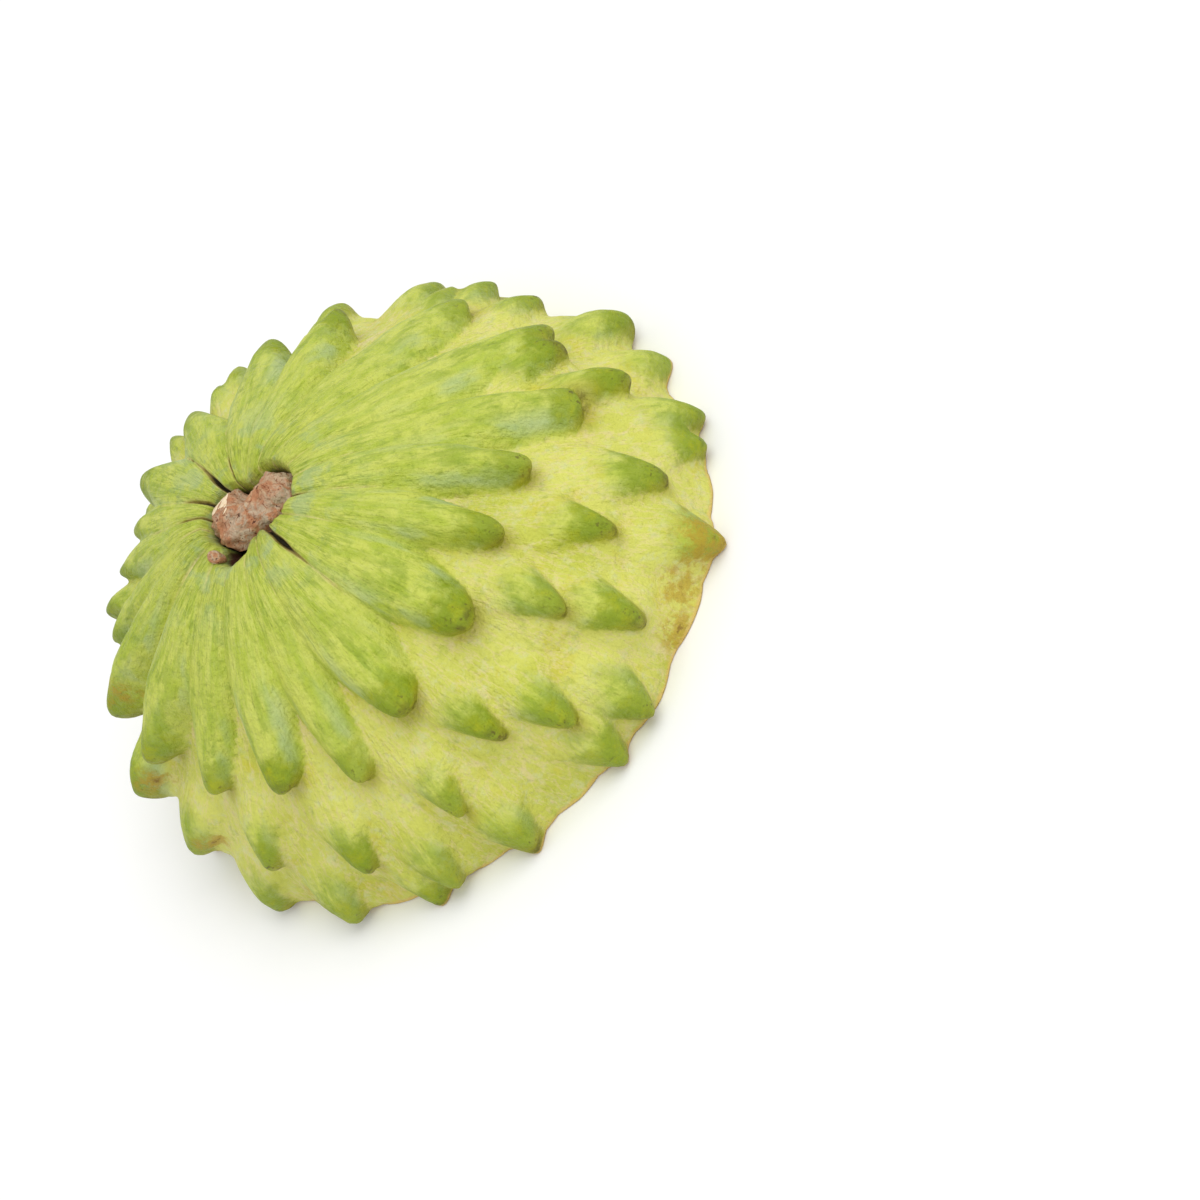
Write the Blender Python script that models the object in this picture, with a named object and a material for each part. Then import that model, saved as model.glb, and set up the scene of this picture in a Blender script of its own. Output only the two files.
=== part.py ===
"""The stem half of a custard apple, cut across its middle and lying on the cut.

Metres, +Z up. The cut face lies in the plane Z = 0, the stem stands on top, and the
origin is the point of the cut face under the middle of the fruit. Angles round the fruit
are counted from +X towards +Y. Angles down the fruit are counted from the stem, so 0 is
the stem and 90 degrees is the cut.
"""

import math
import random

import bmesh
import bpy
import numpy as np
from mathutils import Matrix, Vector

MM = 0.001

# The body under the lobes
BODY_RADIUS = 47.5 * MM
BODY_HEIGHT = 43.5 * MM
SHOULDER_SLOPE = 0.072
SHOULDER_SWAY = 0.02
SHOULDER_SWAY_AT = math.radians(10)
THREE_SIDED = 0.028
THREE_SIDED_AT = math.radians(-56)
SQUEEZE = 0.045
SQUEEZE_AT = math.radians(10)
STEM_OFFSET = -3.0 * MM
STEM_DIP_DEPTH = 4.6 * MM
STEM_DIP_WIDTH = math.radians(8.5)

# The lobes stand in rings and point away from the stem
LOBES_IN_RING = 18
FIRST_LOBE_AT = math.radians(-86)
RING_DOWN = [math.radians(angle) for angle in (50, 64, 77, 90, 103)]
FRONT_SWAY = math.radians(5.5)
FRONT_SWAY_AT = math.radians(-78)
SIDE_SWAY = math.radians(5)
SIDE_SWAY_AT = math.radians(7)
SWAY_KEPT = 0.6
JITTER_DOWN = math.radians(1.3)
JITTER_ROUND = math.radians(1.5)
JITTER_WIDTH = 0.14
JITTER_HEIGHT = 0.2
LOBE_DRAW = 11

# Lobes that grew off the rule: degrees round and down, and shares of the height and the
# width, by ring and place
GROWN_OFF = {
    (0, 1): (0, -2, 1, 0.85),
    (0, 2): (-3.5, -1, 1, 0.95),
    (0, 3): (-5, 10, 1, 1.05),
    (0, 4): (-7, 11, 1, 1.2),
    (0, 5): (3, 14, 1, 1.2),
    (0, 6): (5, 3, 1.1, 0.9),
    (0, 8): (4, -4, 1, 0.9),
    (0, 9): (5, -5, 1, 0.85),
    (0, 10): (2, -3, 1, 0.8),
    (0, 11): (-8, -2, 1, 0.7),
    (0, 12): (-2, 7, 1.5, 0.8),
    (0, 13): (-2, 0, 1.2, 0.8),
    (0, 14): (0, 0, 0.8, 0.85),
    (0, 15): (0, 0, 0.75, 0.85),
    (0, 16): (-2, 6.5, 0.8, 0.9),
    (0, 17): (-5, 2.5, 0.9, 1.15),
    (1, 1): (-3, 3.5, 1, 1),
    (1, 2): (6, 7, 1, 1),
    (1, 4): (8, 13, 1, 0.9),
    (1, 5): (0, 9, 1.2, 0.9),
    (1, 6): (3, 2, 1.1, 0.8),
    (1, 7): (2, -9, 1, 0.7),
    (1, 8): (3, -13, 1.1, 0.8),
    (1, 10): (8, -10, 1.1, 0.7),
    (1, 11): (0, -6, 1.3, 0.8),
    (1, 12): (2, 2, 1.4, 0.9),
    (1, 13): (-7, 9, 1.2, 1),
    (1, 14): (-4, 4, 1, 1),
    (1, 15): (-5, 8, 1, 1),
    (1, 16): (-4, 10, 1, 1),
    (1, 17): (-6, 4.5, 1, 1),
    (2, 0): (-8, 0.5, 1, 1),
    (2, 1): (-4.5, -1.5, 1, 1),
    (2, 2): (-6, 11, 1, 1),
    (2, 3): (-1, 7, 1.4, 1),
    (2, 4): (9, 2.5, 1, 0.85),
    (2, 13): (-4, 9, 1.2, 1),
    (2, 14): (-8, 8.5, 1, 1),
    (2, 15): (-4, 9.5, 1, 1),
    (2, 16): (-8, 12, 1, 1),
    (2, 17): (-7, -1.5, 1, 1),
    (3, 0): (0, -1, 1, 1),
    (3, 1): (-4, -2, 1, 1),
    (3, 17): (-9, -2.5, 1, 1),
}

# Lobes that crowd in between the others: ring, degrees round and down, and shares of the
# height and the width
CROWDED_IN = [
    (0, 141, 50, 1.0, 0.65),
    (1, 72, 49, 1.0, 0.7),
]

# The outline of a lobe, from its root near the stem to its tip
LOBE_ROOT_DOWN = math.radians(5)
LONGEST_LOBE = 50 * MM
SHIELD_LENGTH = 26 * MM
FIRST_HALF_WIDTH = 5.8 * MM
LOBE_HALF_WIDTH = 4.4 * MM
ROOT_WIDTH = 0.3
WIDEST_AT = 0.62
TIP_WIDTH = 0.66

# The rise of a lobe: a broad shield carries the lower ones, and a thumb stands at its tip
LOBE_HEIGHT = 5.6 * MM
HEIGHT_KEPT = 0.92
SHIELD_SHARE = 0.42
SHIELD_HALF_WIDTH = 9.0 * MM
SHIELD_FALL = 6.0 * MM
ROOT_HEIGHT = 0.16
ROOT_FADE = 0.1
CREST_CURVE = 1.6
CREST_FLATNESS = 1.2
THUMB_LENGTH = 13 * MM
THUMB_END = 2.0 * MM
THUMB_SPREAD = 0.45
NOSE_FALL = 1.9 * MM
NOSE_ROUNDING = 3.0 * MM
NOSE_REACH = 0.38
NOSE_LENGTH = 5.1 * MM
SIDE_REACH = 0.6
CLEAR_ABOVE = 3.9 * MM

# The layers, and the play between neighbouring solids
RIND_THICKNESS = 2.0 * MM
PLAY = 0.35 * MM

# The seeds lie in a ring round the pith of the cut face
SEED_LENGTH = 17.5 * MM
SEED_WIDTH = 9.4 * MM
SEED_THICKNESS = 6.0 * MM
SEED_PLACES = 8
SEED_RING_RADIUS = 20 * MM
SEED_RECESS = 0.5 * MM
EMPTY_POCKETS = (2, 6)
EMPTY_POCKET_DEPTH = 3.4 * MM
SEED_JITTER_ROUND = 0.12
SEED_JITTER_TURN = 0.35
SEED_SPREAD_OUT = (0.9, 1.12)
SEED_SIZES = (0.92, 1.04)
SEED_DRAW = 12
SEED_TAPER = 0.22
SEED_ENDS = 0.12
POCKET_MOUTH_FROM = -0.05

# The stub of the stem is a low oval knob with a waist and one broken side
STEM_LENGTH = 17.0 * MM
STEM_WIDTH = 9.8 * MM
STEM_HEIGHT = 5.0 * MM
STEM_ROOT_DEPTH = 4.5 * MM
STEM_WAIST = 0.28
STEM_SEAT_LIFT = 0.4 * MM
STEM_TURN = math.radians(147)
STEM_BREAK_AT = Vector((3.5, -2.5, 2.9)) * MM
STEM_BREAK_FACES = Vector((0.35, -0.45, 0.82)).normalized()
STEM_ROUGHNESS = 0.05
STEM_NARROWING = 0.45

# Fineness of the faceted solids
ROUND_STEPS = 14 * LOBES_IN_RING
DOWN_STEPS = 240
RIND_SHARE_KEPT = 0.065
INNER_ROUND_STEPS = 40
INNER_DOWN_STEPS = 22


def new_collection(name):
    made = bpy.data.collections.new(name)
    bpy.context.scene.collection.children.link(made)
    return made


def new_material(name, colour, roughness):
    """A plain finish: its colour and roughness, with no metal in it."""
    material = bpy.data.materials.new(name)
    material.use_nodes = True
    shader = material.node_tree.nodes["Principled BSDF"]
    shader.inputs["Base Color"].default_value = (*colour, 1.0)
    shader.inputs["Roughness"].default_value = roughness
    shader.inputs["Metallic"].default_value = 0.0
    material.diffuse_color = (*colour, 1.0)
    return material


def new_object(name, fill_mesh, collection, material=None):
    """An object whose mesh is made by fill_mesh."""
    mesh = bpy.data.meshes.new(name)
    maker = bmesh.new()
    fill_mesh(maker)
    bmesh.ops.recalc_face_normals(maker, faces=maker.faces)
    maker.to_mesh(mesh)
    maker.free()
    if material is not None:
        mesh.materials.append(material)
    made = bpy.data.objects.new(name, mesh)
    collection.objects.link(made)
    return made


def cut_with(target, cutter):
    """Takes the cutter's shape away from the target."""
    cut = target.modifiers.new("cut_" + cutter.name, "BOOLEAN")
    cut.operation = "DIFFERENCE"
    cut.solver = "EXACT"
    cut.object = cutter
    cutter.hide_render = True
    cutter.display_type = "WIRE"


def ease(x):
    """A smooth step from 0 to 1 while x goes from 0 to 1."""
    x = np.clip(x, 0.0, 1.0)
    return x * x * (3 - 2 * x)


def body_point(round_angle, down_angle):
    """The surface under the lobes: an uneven dome with a dip for the stem."""
    three_sided = THREE_SIDED * np.cos(3 * (round_angle - THREE_SIDED_AT))
    squeezed = SQUEEZE * np.cos(round_angle - SQUEEZE_AT) ** 2
    radius = BODY_RADIUS * (1 + three_sided - squeezed)
    slope = SHOULDER_SLOPE + SHOULDER_SWAY * np.cos(round_angle - SHOULDER_SWAY_AT)
    fuller = 1 - slope * np.sin(2 * down_angle) ** 2
    across = radius * np.sin(down_angle) * fuller
    dip = STEM_DIP_DEPTH * np.exp(-((down_angle / STEM_DIP_WIDTH) ** 2))
    up = BODY_HEIGHT * np.cos(down_angle) * fuller - dip
    x = across * np.cos(round_angle) + STEM_OFFSET * np.cos(down_angle)
    y = across * np.sin(round_angle)
    return np.stack([x, y, up], axis=-1)


def body_frame(round_angle, down_angle):
    """The body's points, its outward normals and the way from the stem at each."""
    little = 1e-4
    safe = np.clip(down_angle, 2 * little, math.pi - 2 * little)
    above = body_point(round_angle, safe - little)
    below = body_point(round_angle, safe + little)
    before = body_point(round_angle - little, safe)
    after = body_point(round_angle + little, safe)
    away = below - above
    away /= np.linalg.norm(away, axis=-1, keepdims=True)
    normal = np.cross(away, after - before)
    normal /= np.linalg.norm(normal, axis=-1, keepdims=True)
    return body_point(round_angle, down_angle), normal, away


def size_lobe(ring, around, turned, down, broader, taller):
    """A lobe of a ring. Its tip stands turned off the place where its root starts."""
    from_root = (down - LOBE_ROOT_DOWN) * BODY_RADIUS
    length = SHIELD_LENGTH if ring else min(from_root, LONGEST_LOBE)
    half_width = broader * (LOBE_HALF_WIDTH if ring else FIRST_HALF_WIDTH)
    height = LOBE_HEIGHT * HEIGHT_KEPT**ring * taller
    lobe = {"ring": ring, "around": around + turned, "turned": turned, "down": down}
    return lobe | {"length": length, "half_width": half_width, "height": height}


def list_lobes():
    """Each lobe's ring, the place of its tip on the body, and its size."""
    draw = random.Random(LOBE_DRAW)
    made = []
    for ring, ring_down in enumerate(RING_DOWN):
        for place in range(LOBES_IN_RING):
            grown = GROWN_OFF.get((ring, place), (0, 0, 1, 1))
            off_round, off_down, taller, broader = grown
            around = FIRST_LOBE_AT + (place + ring / 2) * math.tau / LOBES_IN_RING
            around += draw.uniform(-JITTER_ROUND, JITTER_ROUND)
            sway = FRONT_SWAY * math.cos(around - FRONT_SWAY_AT)
            sway += SIDE_SWAY * math.cos(2 * (around - SIDE_SWAY_AT))
            down = ring_down + sway * SWAY_KEPT**ring
            down += draw.uniform(-JITTER_DOWN, JITTER_DOWN) + math.radians(off_down)
            broader *= 1 + draw.uniform(-JITTER_WIDTH, JITTER_WIDTH)
            taller *= 1 + draw.uniform(-JITTER_HEIGHT, JITTER_HEIGHT)
            turned = math.radians(off_round)
            made.append(size_lobe(ring, around, turned, down, broader, taller))
    for ring, around, down, taller, broader in CROWDED_IN:
        around, down = math.radians(around), math.radians(down)
        made.append(size_lobe(ring, around, 0, down, broader, taller))
    return made


def lobe_outline(along):
    """The width of a lobe as a share of its greatest, from its root to its tip."""
    widening = ROOT_WIDTH + (1 - ROOT_WIDTH) * ease(along / WIDEST_AT)
    narrowing = ease((along - WIDEST_AT) / (1 - WIDEST_AT))
    return widening * (1 - (1 - TIP_WIDTH) * narrowing)


def lobe_relief(round_angle, down_angle):
    """How far the lobes raise each point off the body, and how far they carry it on
    past their tips, so that the tips hang over."""
    rise = np.zeros_like(round_angle)
    next_rise = np.zeros_like(round_angle)
    reach = np.zeros_like(round_angle)
    for lobe in list_lobes():
        ring, length, height = lobe["ring"], lobe["length"], lobe["height"]
        past_tip = (down_angle - lobe["down"]) * BODY_RADIUS
        along = 1 + past_tip / length
        middle = lobe["around"]
        half_width = lobe["half_width"] * lobe_outline(along)
        if ring:
            half_width *= 1 + THUMB_SPREAD * (1 - ease(1 + past_tip / THUMB_LENGTH))
        else:
            middle = middle - lobe["turned"] * (1 - ease(along))
        turn = (round_angle - middle + math.pi) % math.tau - math.pi
        aside = turn * BODY_RADIUS * np.sin(down_angle)
        beside = (aside / half_width) ** 2
        crest = np.clip(1 - beside**CREST_FLATNESS, 0, 1)
        past_nose = past_tip + NOSE_ROUNDING * beside
        fall = 1 - ease((past_nose + NOSE_FALL) / (2 * NOSE_FALL))
        if ring:
            thumb = ease(1 + (past_tip + THUMB_END) / THUMB_LENGTH) * crest * fall
            shield = np.clip(1 - (aside / SHIELD_HALF_WIDTH) ** 2, 0, 1) ** 2
            shield *= ease(along) * (1 - ease(past_tip / SHIELD_FALL))
            share = SHIELD_SHARE * shield + (1 - SHIELD_SHARE) * thumb
        else:
            slope = ROOT_HEIGHT + (1 - ROOT_HEIGHT) * ease(along) ** CREST_CURVE
            root = ease(along / ROOT_FADE + 0.5)
            share = crest * slope * root * fall
        this_rise = height * share
        nearing_tip = ease(1 + past_nose / NOSE_LENGTH)
        this_reach = NOSE_REACH * height * crest**SIDE_REACH * nearing_tip
        higher = this_rise > rise
        next_rise = np.where(higher, rise, np.maximum(next_rise, this_rise))
        reach = np.where(higher, this_reach, reach)
        rise = np.where(higher, this_rise, rise)
    clear_of_others = ease((rise - next_rise) / CLEAR_ABOVE)
    return rise, reach * clear_of_others


def shaped_ball(maker, round_steps, down_steps, shape):
    """A ball whose points are moved to where shape puts their angles."""
    bmesh.ops.create_uvsphere(
        maker, u_segments=round_steps, v_segments=down_steps, radius=1.0
    )
    at = np.array([vertex.co for vertex in maker.verts])
    down_angle = np.arccos(np.clip(at[:, 2], -1, 1))
    round_angle = np.arctan2(at[:, 1], at[:, 0])
    for vertex, place in zip(maker.verts, shape(round_angle, down_angle)):
        vertex.co = place


def lobed_surface(round_angle, down_angle):
    point, normal, away = body_frame(round_angle, down_angle)
    rise, reach = lobe_relief(round_angle, down_angle)
    return point + rise[:, None] * normal + reach[:, None] * away


def sunk_surface(depth):
    """The body's surface moved inwards by depth."""

    def shape(round_angle, down_angle):
        point, normal, _ = body_frame(round_angle, down_angle)
        return point - depth * normal

    return shape


def make_knife(cutters):
    """A block whose top is the plane of the cut."""
    side = 4 * BODY_RADIUS

    def block(maker):
        bmesh.ops.create_cube(maker, size=side)
        bmesh.ops.translate(maker, verts=maker.verts, vec=(0, 0, -side / 2))

    return new_object("knife", block, cutters)


def make_rind(part, cutters, knife):
    """The green rind with its lobes, a shell that the flesh fills."""

    def lobed(maker):
        shaped_ball(maker, ROUND_STEPS, DOWN_STEPS, lobed_surface)

    def inside(maker):
        inner = sunk_surface(RIND_THICKNESS)
        shaped_ball(maker, INNER_ROUND_STEPS, INNER_DOWN_STEPS, inner)

    green = new_material("rind_green", (0.50, 0.62, 0.16), 0.5)
    rind = new_object("rind", lobed, part, green)
    fewer = rind.modifiers.new("fewer_facets", "DECIMATE")
    fewer.ratio = RIND_SHARE_KEPT
    cut_with(rind, new_object("rind_inside", inside, cutters))
    cut_with(rind, knife)
    return rind


def make_flesh(part, knife):
    """The white flesh that fills the rind."""

    def filling(maker):
        inner = sunk_surface(RIND_THICKNESS + PLAY)
        shaped_ball(maker, INNER_ROUND_STEPS, INNER_DOWN_STEPS, inner)

    white = new_material("flesh_white", (0.90, 0.84, 0.74), 0.4)
    flesh = new_object("flesh", filling, part, white)
    cut_with(flesh, knife)
    return flesh


def seed_places():
    """The middle of each seed, its turn in the plane of the cut, and its size."""
    draw = random.Random(SEED_DRAW)
    places = []
    for number in range(SEED_PLACES):
        around = number * math.tau / SEED_PLACES
        around += draw.uniform(-SEED_JITTER_ROUND, SEED_JITTER_ROUND)
        out = SEED_RING_RADIUS * draw.uniform(*SEED_SPREAD_OUT)
        size = draw.uniform(*SEED_SIZES)
        turn = around + draw.uniform(-SEED_JITTER_TURN, SEED_JITTER_TURN)
        lift = SEED_RECESS + SEED_THICKNESS * size / 2
        middle = Vector((out * math.cos(around), out * math.sin(around), lift))
        places.append((middle, turn, size))
    return places


def seed_shape(maker, size, swell=0.0, mouth=0.0):
    """A flat bean with one blunt point. A pocket for it is swollen all round, and its
    lower half runs down to a mouth."""
    bmesh.ops.create_uvsphere(maker, u_segments=16, v_segments=9, radius=1.0)
    lying = Matrix.Rotation(math.pi / 2, 3, "Y")
    bmesh.ops.rotate(maker, verts=maker.verts, matrix=lying)
    half_length = SEED_LENGTH * size / 2 + swell
    half_width = SEED_WIDTH * size / 2 + swell
    half_thickness = SEED_THICKNESS * size / 2 + swell
    for vertex in maker.verts:
        along, aside, up = vertex.co
        taper = 1 - SEED_TAPER * along - SEED_ENDS * along**2
        height = half_thickness * up * taper
        if mouth and up < POCKET_MOUTH_FROM:
            height = -mouth
        vertex.co = (half_length * along, half_width * aside * taper, height)


def make_seeds(part, cutters, flesh):
    """The seeds, each in its pocket of the flesh. Two pockets are empty."""
    black = new_material("seed_black", (0.012, 0.009, 0.008), 0.25)
    for number, (middle, turn, size) in enumerate(seed_places()):

        def seed_form(maker):
            seed_shape(maker, size)

        def pocket_form(maker):
            seed_shape(maker, size, PLAY, 2 * SEED_THICKNESS)

        place = Matrix.Translation(middle) @ Matrix.Rotation(turn, 4, "Z")
        pocket = new_object(f"pocket_{number + 1}", pocket_form, cutters)
        pocket.matrix_world = place
        cut_with(flesh, pocket)
        if number in EMPTY_POCKETS:
            pocket.location.z += EMPTY_POCKET_DEPTH - SEED_THICKNESS * size
            continue
        seed = new_object(f"seed_{number + 1}", seed_form, part, black)
        seed.matrix_world = place
        seed.data.shade_smooth()


def stem_shape(maker, swell=0.0):
    """An oval knob over a root that narrows downwards, broken off flat at one side."""
    bmesh.ops.create_uvsphere(maker, u_segments=20, v_segments=13, radius=1.0)
    for vertex in maker.verts:
        along, aside, up = vertex.co
        around = math.atan2(aside, along)
        waist = 1 - STEM_WAIST * math.exp(-((along / 0.3) ** 2))
        rough = 1 + STEM_ROUGHNESS * math.cos(5 * around + 4 * up) * (1 - up**2)
        narrowing = 1 + STEM_NARROWING * min(up, 0)
        tall = STEM_HEIGHT * waist if up > 0 else STEM_ROOT_DEPTH
        vertex.co = (
            (STEM_LENGTH / 2 + swell) * along * rough * narrowing,
            (STEM_WIDTH / 2 + swell) * aside * rough * narrowing * waist,
            (tall + swell) * up,
        )
    plane = bmesh.ops.bisect_plane(
        maker,
        geom=maker.verts[:] + maker.edges[:] + maker.faces[:],
        plane_co=STEM_BREAK_AT + swell * STEM_BREAK_FACES,
        plane_no=STEM_BREAK_FACES,
        clear_outer=True,
    )
    rim = [item for item in plane["geom_cut"] if isinstance(item, bmesh.types.BMEdge)]
    bmesh.ops.holes_fill(maker, edges=rim)


def make_stem(part, cutters, rind, flesh):
    """The stub of the stem. It is sunk in a seat of its own shape."""

    def seat_form(maker):
        stem_shape(maker, PLAY)

    seat_height = BODY_HEIGHT - STEM_DIP_DEPTH + STEM_SEAT_LIFT
    place = Matrix.Translation((STEM_OFFSET, 0, seat_height))
    place = place @ Matrix.Rotation(STEM_TURN, 4, "Z")
    brown = new_material("stem_brown", (0.33, 0.15, 0.08), 0.8)
    stem = new_object("stem", stem_shape, part, brown)
    stem.matrix_world = place
    stem.data.shade_smooth()
    seat = new_object("stem_seat", seat_form, cutters)
    seat.matrix_world = place
    cut_with(rind, seat)
    cut_with(flesh, seat)


def main():
    for old in list(bpy.data.objects):
        bpy.data.objects.remove(old)
    part = new_collection("custard_apple_half")
    cutters = new_collection("cutters")
    knife = make_knife(cutters)
    rind = make_rind(part, cutters, knife)
    flesh = make_flesh(part, knife)
    make_seeds(part, cutters, flesh)
    make_stem(part, cutters, rind, flesh)


main()
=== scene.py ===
# %% [markdown]
# # The stem half of a custard apple
#
# A custard apple is a ball of soft white flesh in a thin green skin. The skin is made of
# many lobes that point away from the stem. This one was cut across the middle, and its
# stem half lies on the cut. The solid model gives the size and the place of all parts.
# This lesson puts a fine skin, real flesh, glossy seeds and a woody stem over it, and
# ends with the floor and the light. Blender's noise that moves points starts from the
# clock, so it gets a fixed number here, and each run makes the same fruit.

import math
import random

import bmesh
import bpy
import numpy as np
from mathutils import Matrix, Vector, noise


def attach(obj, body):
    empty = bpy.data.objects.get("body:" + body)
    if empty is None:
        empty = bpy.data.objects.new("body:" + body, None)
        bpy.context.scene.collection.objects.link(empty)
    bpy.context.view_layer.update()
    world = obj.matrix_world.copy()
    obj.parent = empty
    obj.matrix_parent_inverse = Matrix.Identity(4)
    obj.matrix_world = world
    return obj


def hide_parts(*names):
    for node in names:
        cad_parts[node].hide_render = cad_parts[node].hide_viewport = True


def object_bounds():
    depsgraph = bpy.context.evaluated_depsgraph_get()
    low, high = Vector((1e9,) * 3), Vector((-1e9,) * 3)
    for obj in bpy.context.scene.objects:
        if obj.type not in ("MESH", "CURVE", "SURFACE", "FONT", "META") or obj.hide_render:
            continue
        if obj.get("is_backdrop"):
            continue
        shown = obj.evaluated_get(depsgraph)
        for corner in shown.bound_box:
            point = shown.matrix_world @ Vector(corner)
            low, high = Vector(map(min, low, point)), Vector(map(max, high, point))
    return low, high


MM = 0.001
NOISE_DRAW = 2
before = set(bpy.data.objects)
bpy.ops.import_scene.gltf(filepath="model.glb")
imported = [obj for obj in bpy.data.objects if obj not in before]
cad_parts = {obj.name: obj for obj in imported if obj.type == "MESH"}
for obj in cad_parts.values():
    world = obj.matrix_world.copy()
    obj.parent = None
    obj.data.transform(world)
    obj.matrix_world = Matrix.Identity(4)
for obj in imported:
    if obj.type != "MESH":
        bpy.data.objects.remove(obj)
cad_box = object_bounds()
noise.seed_set(NOISE_DRAW)
print("solid parts:", sorted(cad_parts))

# %% [markdown]
# ## The camera
#
# The picture was taken from the side of the fruit that faces -Y and from about half way
# up, with the camera turned so that the stem is at the left. A camera matrix is made of
# three directions: to the right of the picture, to its top, and back to the viewer. They
# are worked out here from one tilt and one roll, so both can be changed by themselves. A
# long lens from 70 cm keeps the fruit's shape as flat as in the picture. It aims a little
# beside the fruit, so the fruit stands at the left.

# %% Place the camera
VIEW_TILT = math.radians(46)
VIEW_ROLL = math.radians(58)
VIEW_DISTANCE = 0.7
ONE_PIXEL = 0.1477 * MM
AIM_RIGHT = 158
AIM_UP = 3
LENS = 142


def add_to_scene(name, data):
    """Puts a mesh, a lamp or a camera into the scene, as an object of that name."""
    item = bpy.data.objects.new(name, data)
    bpy.context.scene.collection.objects.link(item)
    return item


to_viewer = Vector((0, -math.sin(VIEW_TILT), math.cos(VIEW_TILT)))
level = Vector((1, 0, 0))
upright = to_viewer.cross(level)
picture_right = level * math.cos(VIEW_ROLL) - upright * math.sin(VIEW_ROLL)
picture_up = level * math.sin(VIEW_ROLL) + upright * math.cos(VIEW_ROLL)
looks_at = (AIM_RIGHT * picture_right + AIM_UP * picture_up) * ONE_PIXEL
eye = looks_at + to_viewer * VIEW_DISTANCE

camera = add_to_scene("camera", bpy.data.cameras.new("camera"))
axes = Matrix((picture_right, picture_up, to_viewer)).transposed()
camera.matrix_world = Matrix.Translation(eye) @ axes.to_4x4()
camera.data.lens = LENS
bpy.context.scene.camera = camera
print("camera at", [round(v, 3) for v in eye])

# %% [markdown]
# ## The body under the lobes
#
# Without its lobes the fruit is an uneven dome with a dip for the stem. Two angles name
# each point: one round the fruit, and one down from the stem, which is 90 degrees at the
# cut. A formula turns the angles into a place. It is the rule that the solid model was
# made by, so the fine skin lies on the solid one.

# %% The shape of the body
BODY_RADIUS = 47.5 * MM
BODY_HEIGHT = 43.5 * MM
SHOULDER_SLOPE = 0.072
SHOULDER_SWAY = 0.02
SHOULDER_SWAY_AT = math.radians(10)
THREE_SIDED = 0.028
THREE_SIDED_AT = math.radians(-56)
SQUEEZE = 0.045
SQUEEZE_AT = math.radians(10)
STEM_OFFSET = -3.0 * MM
STEM_DIP_DEPTH = 4.6 * MM
STEM_DIP_WIDTH = math.radians(8.5)


def ease(x):
    """A smooth step from 0 to 1 while x goes from 0 to 1."""
    x = np.clip(x, 0.0, 1.0)
    return x * x * (3 - 2 * x)


def turn_from(middle, round_angle):
    """The way round from one angle to another, at most half a turn to either side."""
    return (round_angle - middle + math.pi) % math.tau - math.pi


def body_point(round_angle, down_angle):
    """The place on the body that two angles name."""
    three_sided = THREE_SIDED * np.cos(3 * (round_angle - THREE_SIDED_AT))
    squeezed = SQUEEZE * np.cos(round_angle - SQUEEZE_AT) ** 2
    radius = BODY_RADIUS * (1 + three_sided - squeezed)
    slope = SHOULDER_SLOPE + SHOULDER_SWAY * np.cos(round_angle - SHOULDER_SWAY_AT)
    fuller = 1 - slope * np.sin(2 * down_angle) ** 2
    across = radius * np.sin(down_angle) * fuller
    dip = STEM_DIP_DEPTH * np.exp(-((down_angle / STEM_DIP_WIDTH) ** 2))
    up = BODY_HEIGHT * np.cos(down_angle) * fuller - dip
    x = across * np.cos(round_angle) + STEM_OFFSET * np.cos(down_angle)
    y = across * np.sin(round_angle)
    return np.stack([x, y, up], axis=-1)


def body_frame(round_angle, down_angle):
    """The body's points, its outward normals and the way from the stem at each."""
    little = 1e-4
    safe = np.clip(down_angle, 2 * little, math.pi - 2 * little)
    above = body_point(round_angle, safe - little)
    below = body_point(round_angle, safe + little)
    before = body_point(round_angle - little, safe)
    after = body_point(round_angle + little, safe)
    away = below - above
    away /= np.linalg.norm(away, axis=-1, keepdims=True)
    normal = np.cross(away, after - before)
    normal /= np.linalg.norm(normal, axis=-1, keepdims=True)
    return body_point(round_angle, down_angle), normal, away


dome = body_point(np.zeros(1), np.full(1, math.radians(90)))[0]
print("the cut is", round(dome[0] * 1000, 1), "mm from the middle on the +X side")

# %% [markdown]
# ## Where the lobes stand
#
# Eighteen lobes start at the stem as long petals, and four more rings of shorter ones
# follow, each set half a place round. A rule with a seeded draw places them, so no two
# are alike and each run gives the same fruit. The ones that the picture shows clearly
# grew a little off the rule. A table names each by its ring and its place, and says how
# many degrees it stands off, round the stem and down from it, and how tall and how broad
# it is against the others. Two more lobes have crowded in between.

# %% The list of lobes
LOBES_IN_RING = 18
FIRST_LOBE_AT = math.radians(-86)
RING_DOWN = [math.radians(angle) for angle in (50, 64, 77, 90, 103)]
FRONT_SWAY = math.radians(5.5)
FRONT_SWAY_AT = math.radians(-78)
SIDE_SWAY = math.radians(5)
SIDE_SWAY_AT = math.radians(7)
SWAY_KEPT = 0.6
JITTER_DOWN = math.radians(1.3)
JITTER_ROUND = math.radians(1.5)
JITTER_WIDTH = 0.14
JITTER_HEIGHT = 0.2
LOBE_DRAW = 11
LOOKS_DRAW = 5
LOBE_ROOT_DOWN = math.radians(5)
LONGEST_LOBE = 50 * MM
SHIELD_LENGTH = 26 * MM
FIRST_HALF_WIDTH = 5.8 * MM
LOBE_HALF_WIDTH = 4.4 * MM
LOBE_HEIGHT = 5.6 * MM
HEIGHT_KEPT = 0.92

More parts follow.
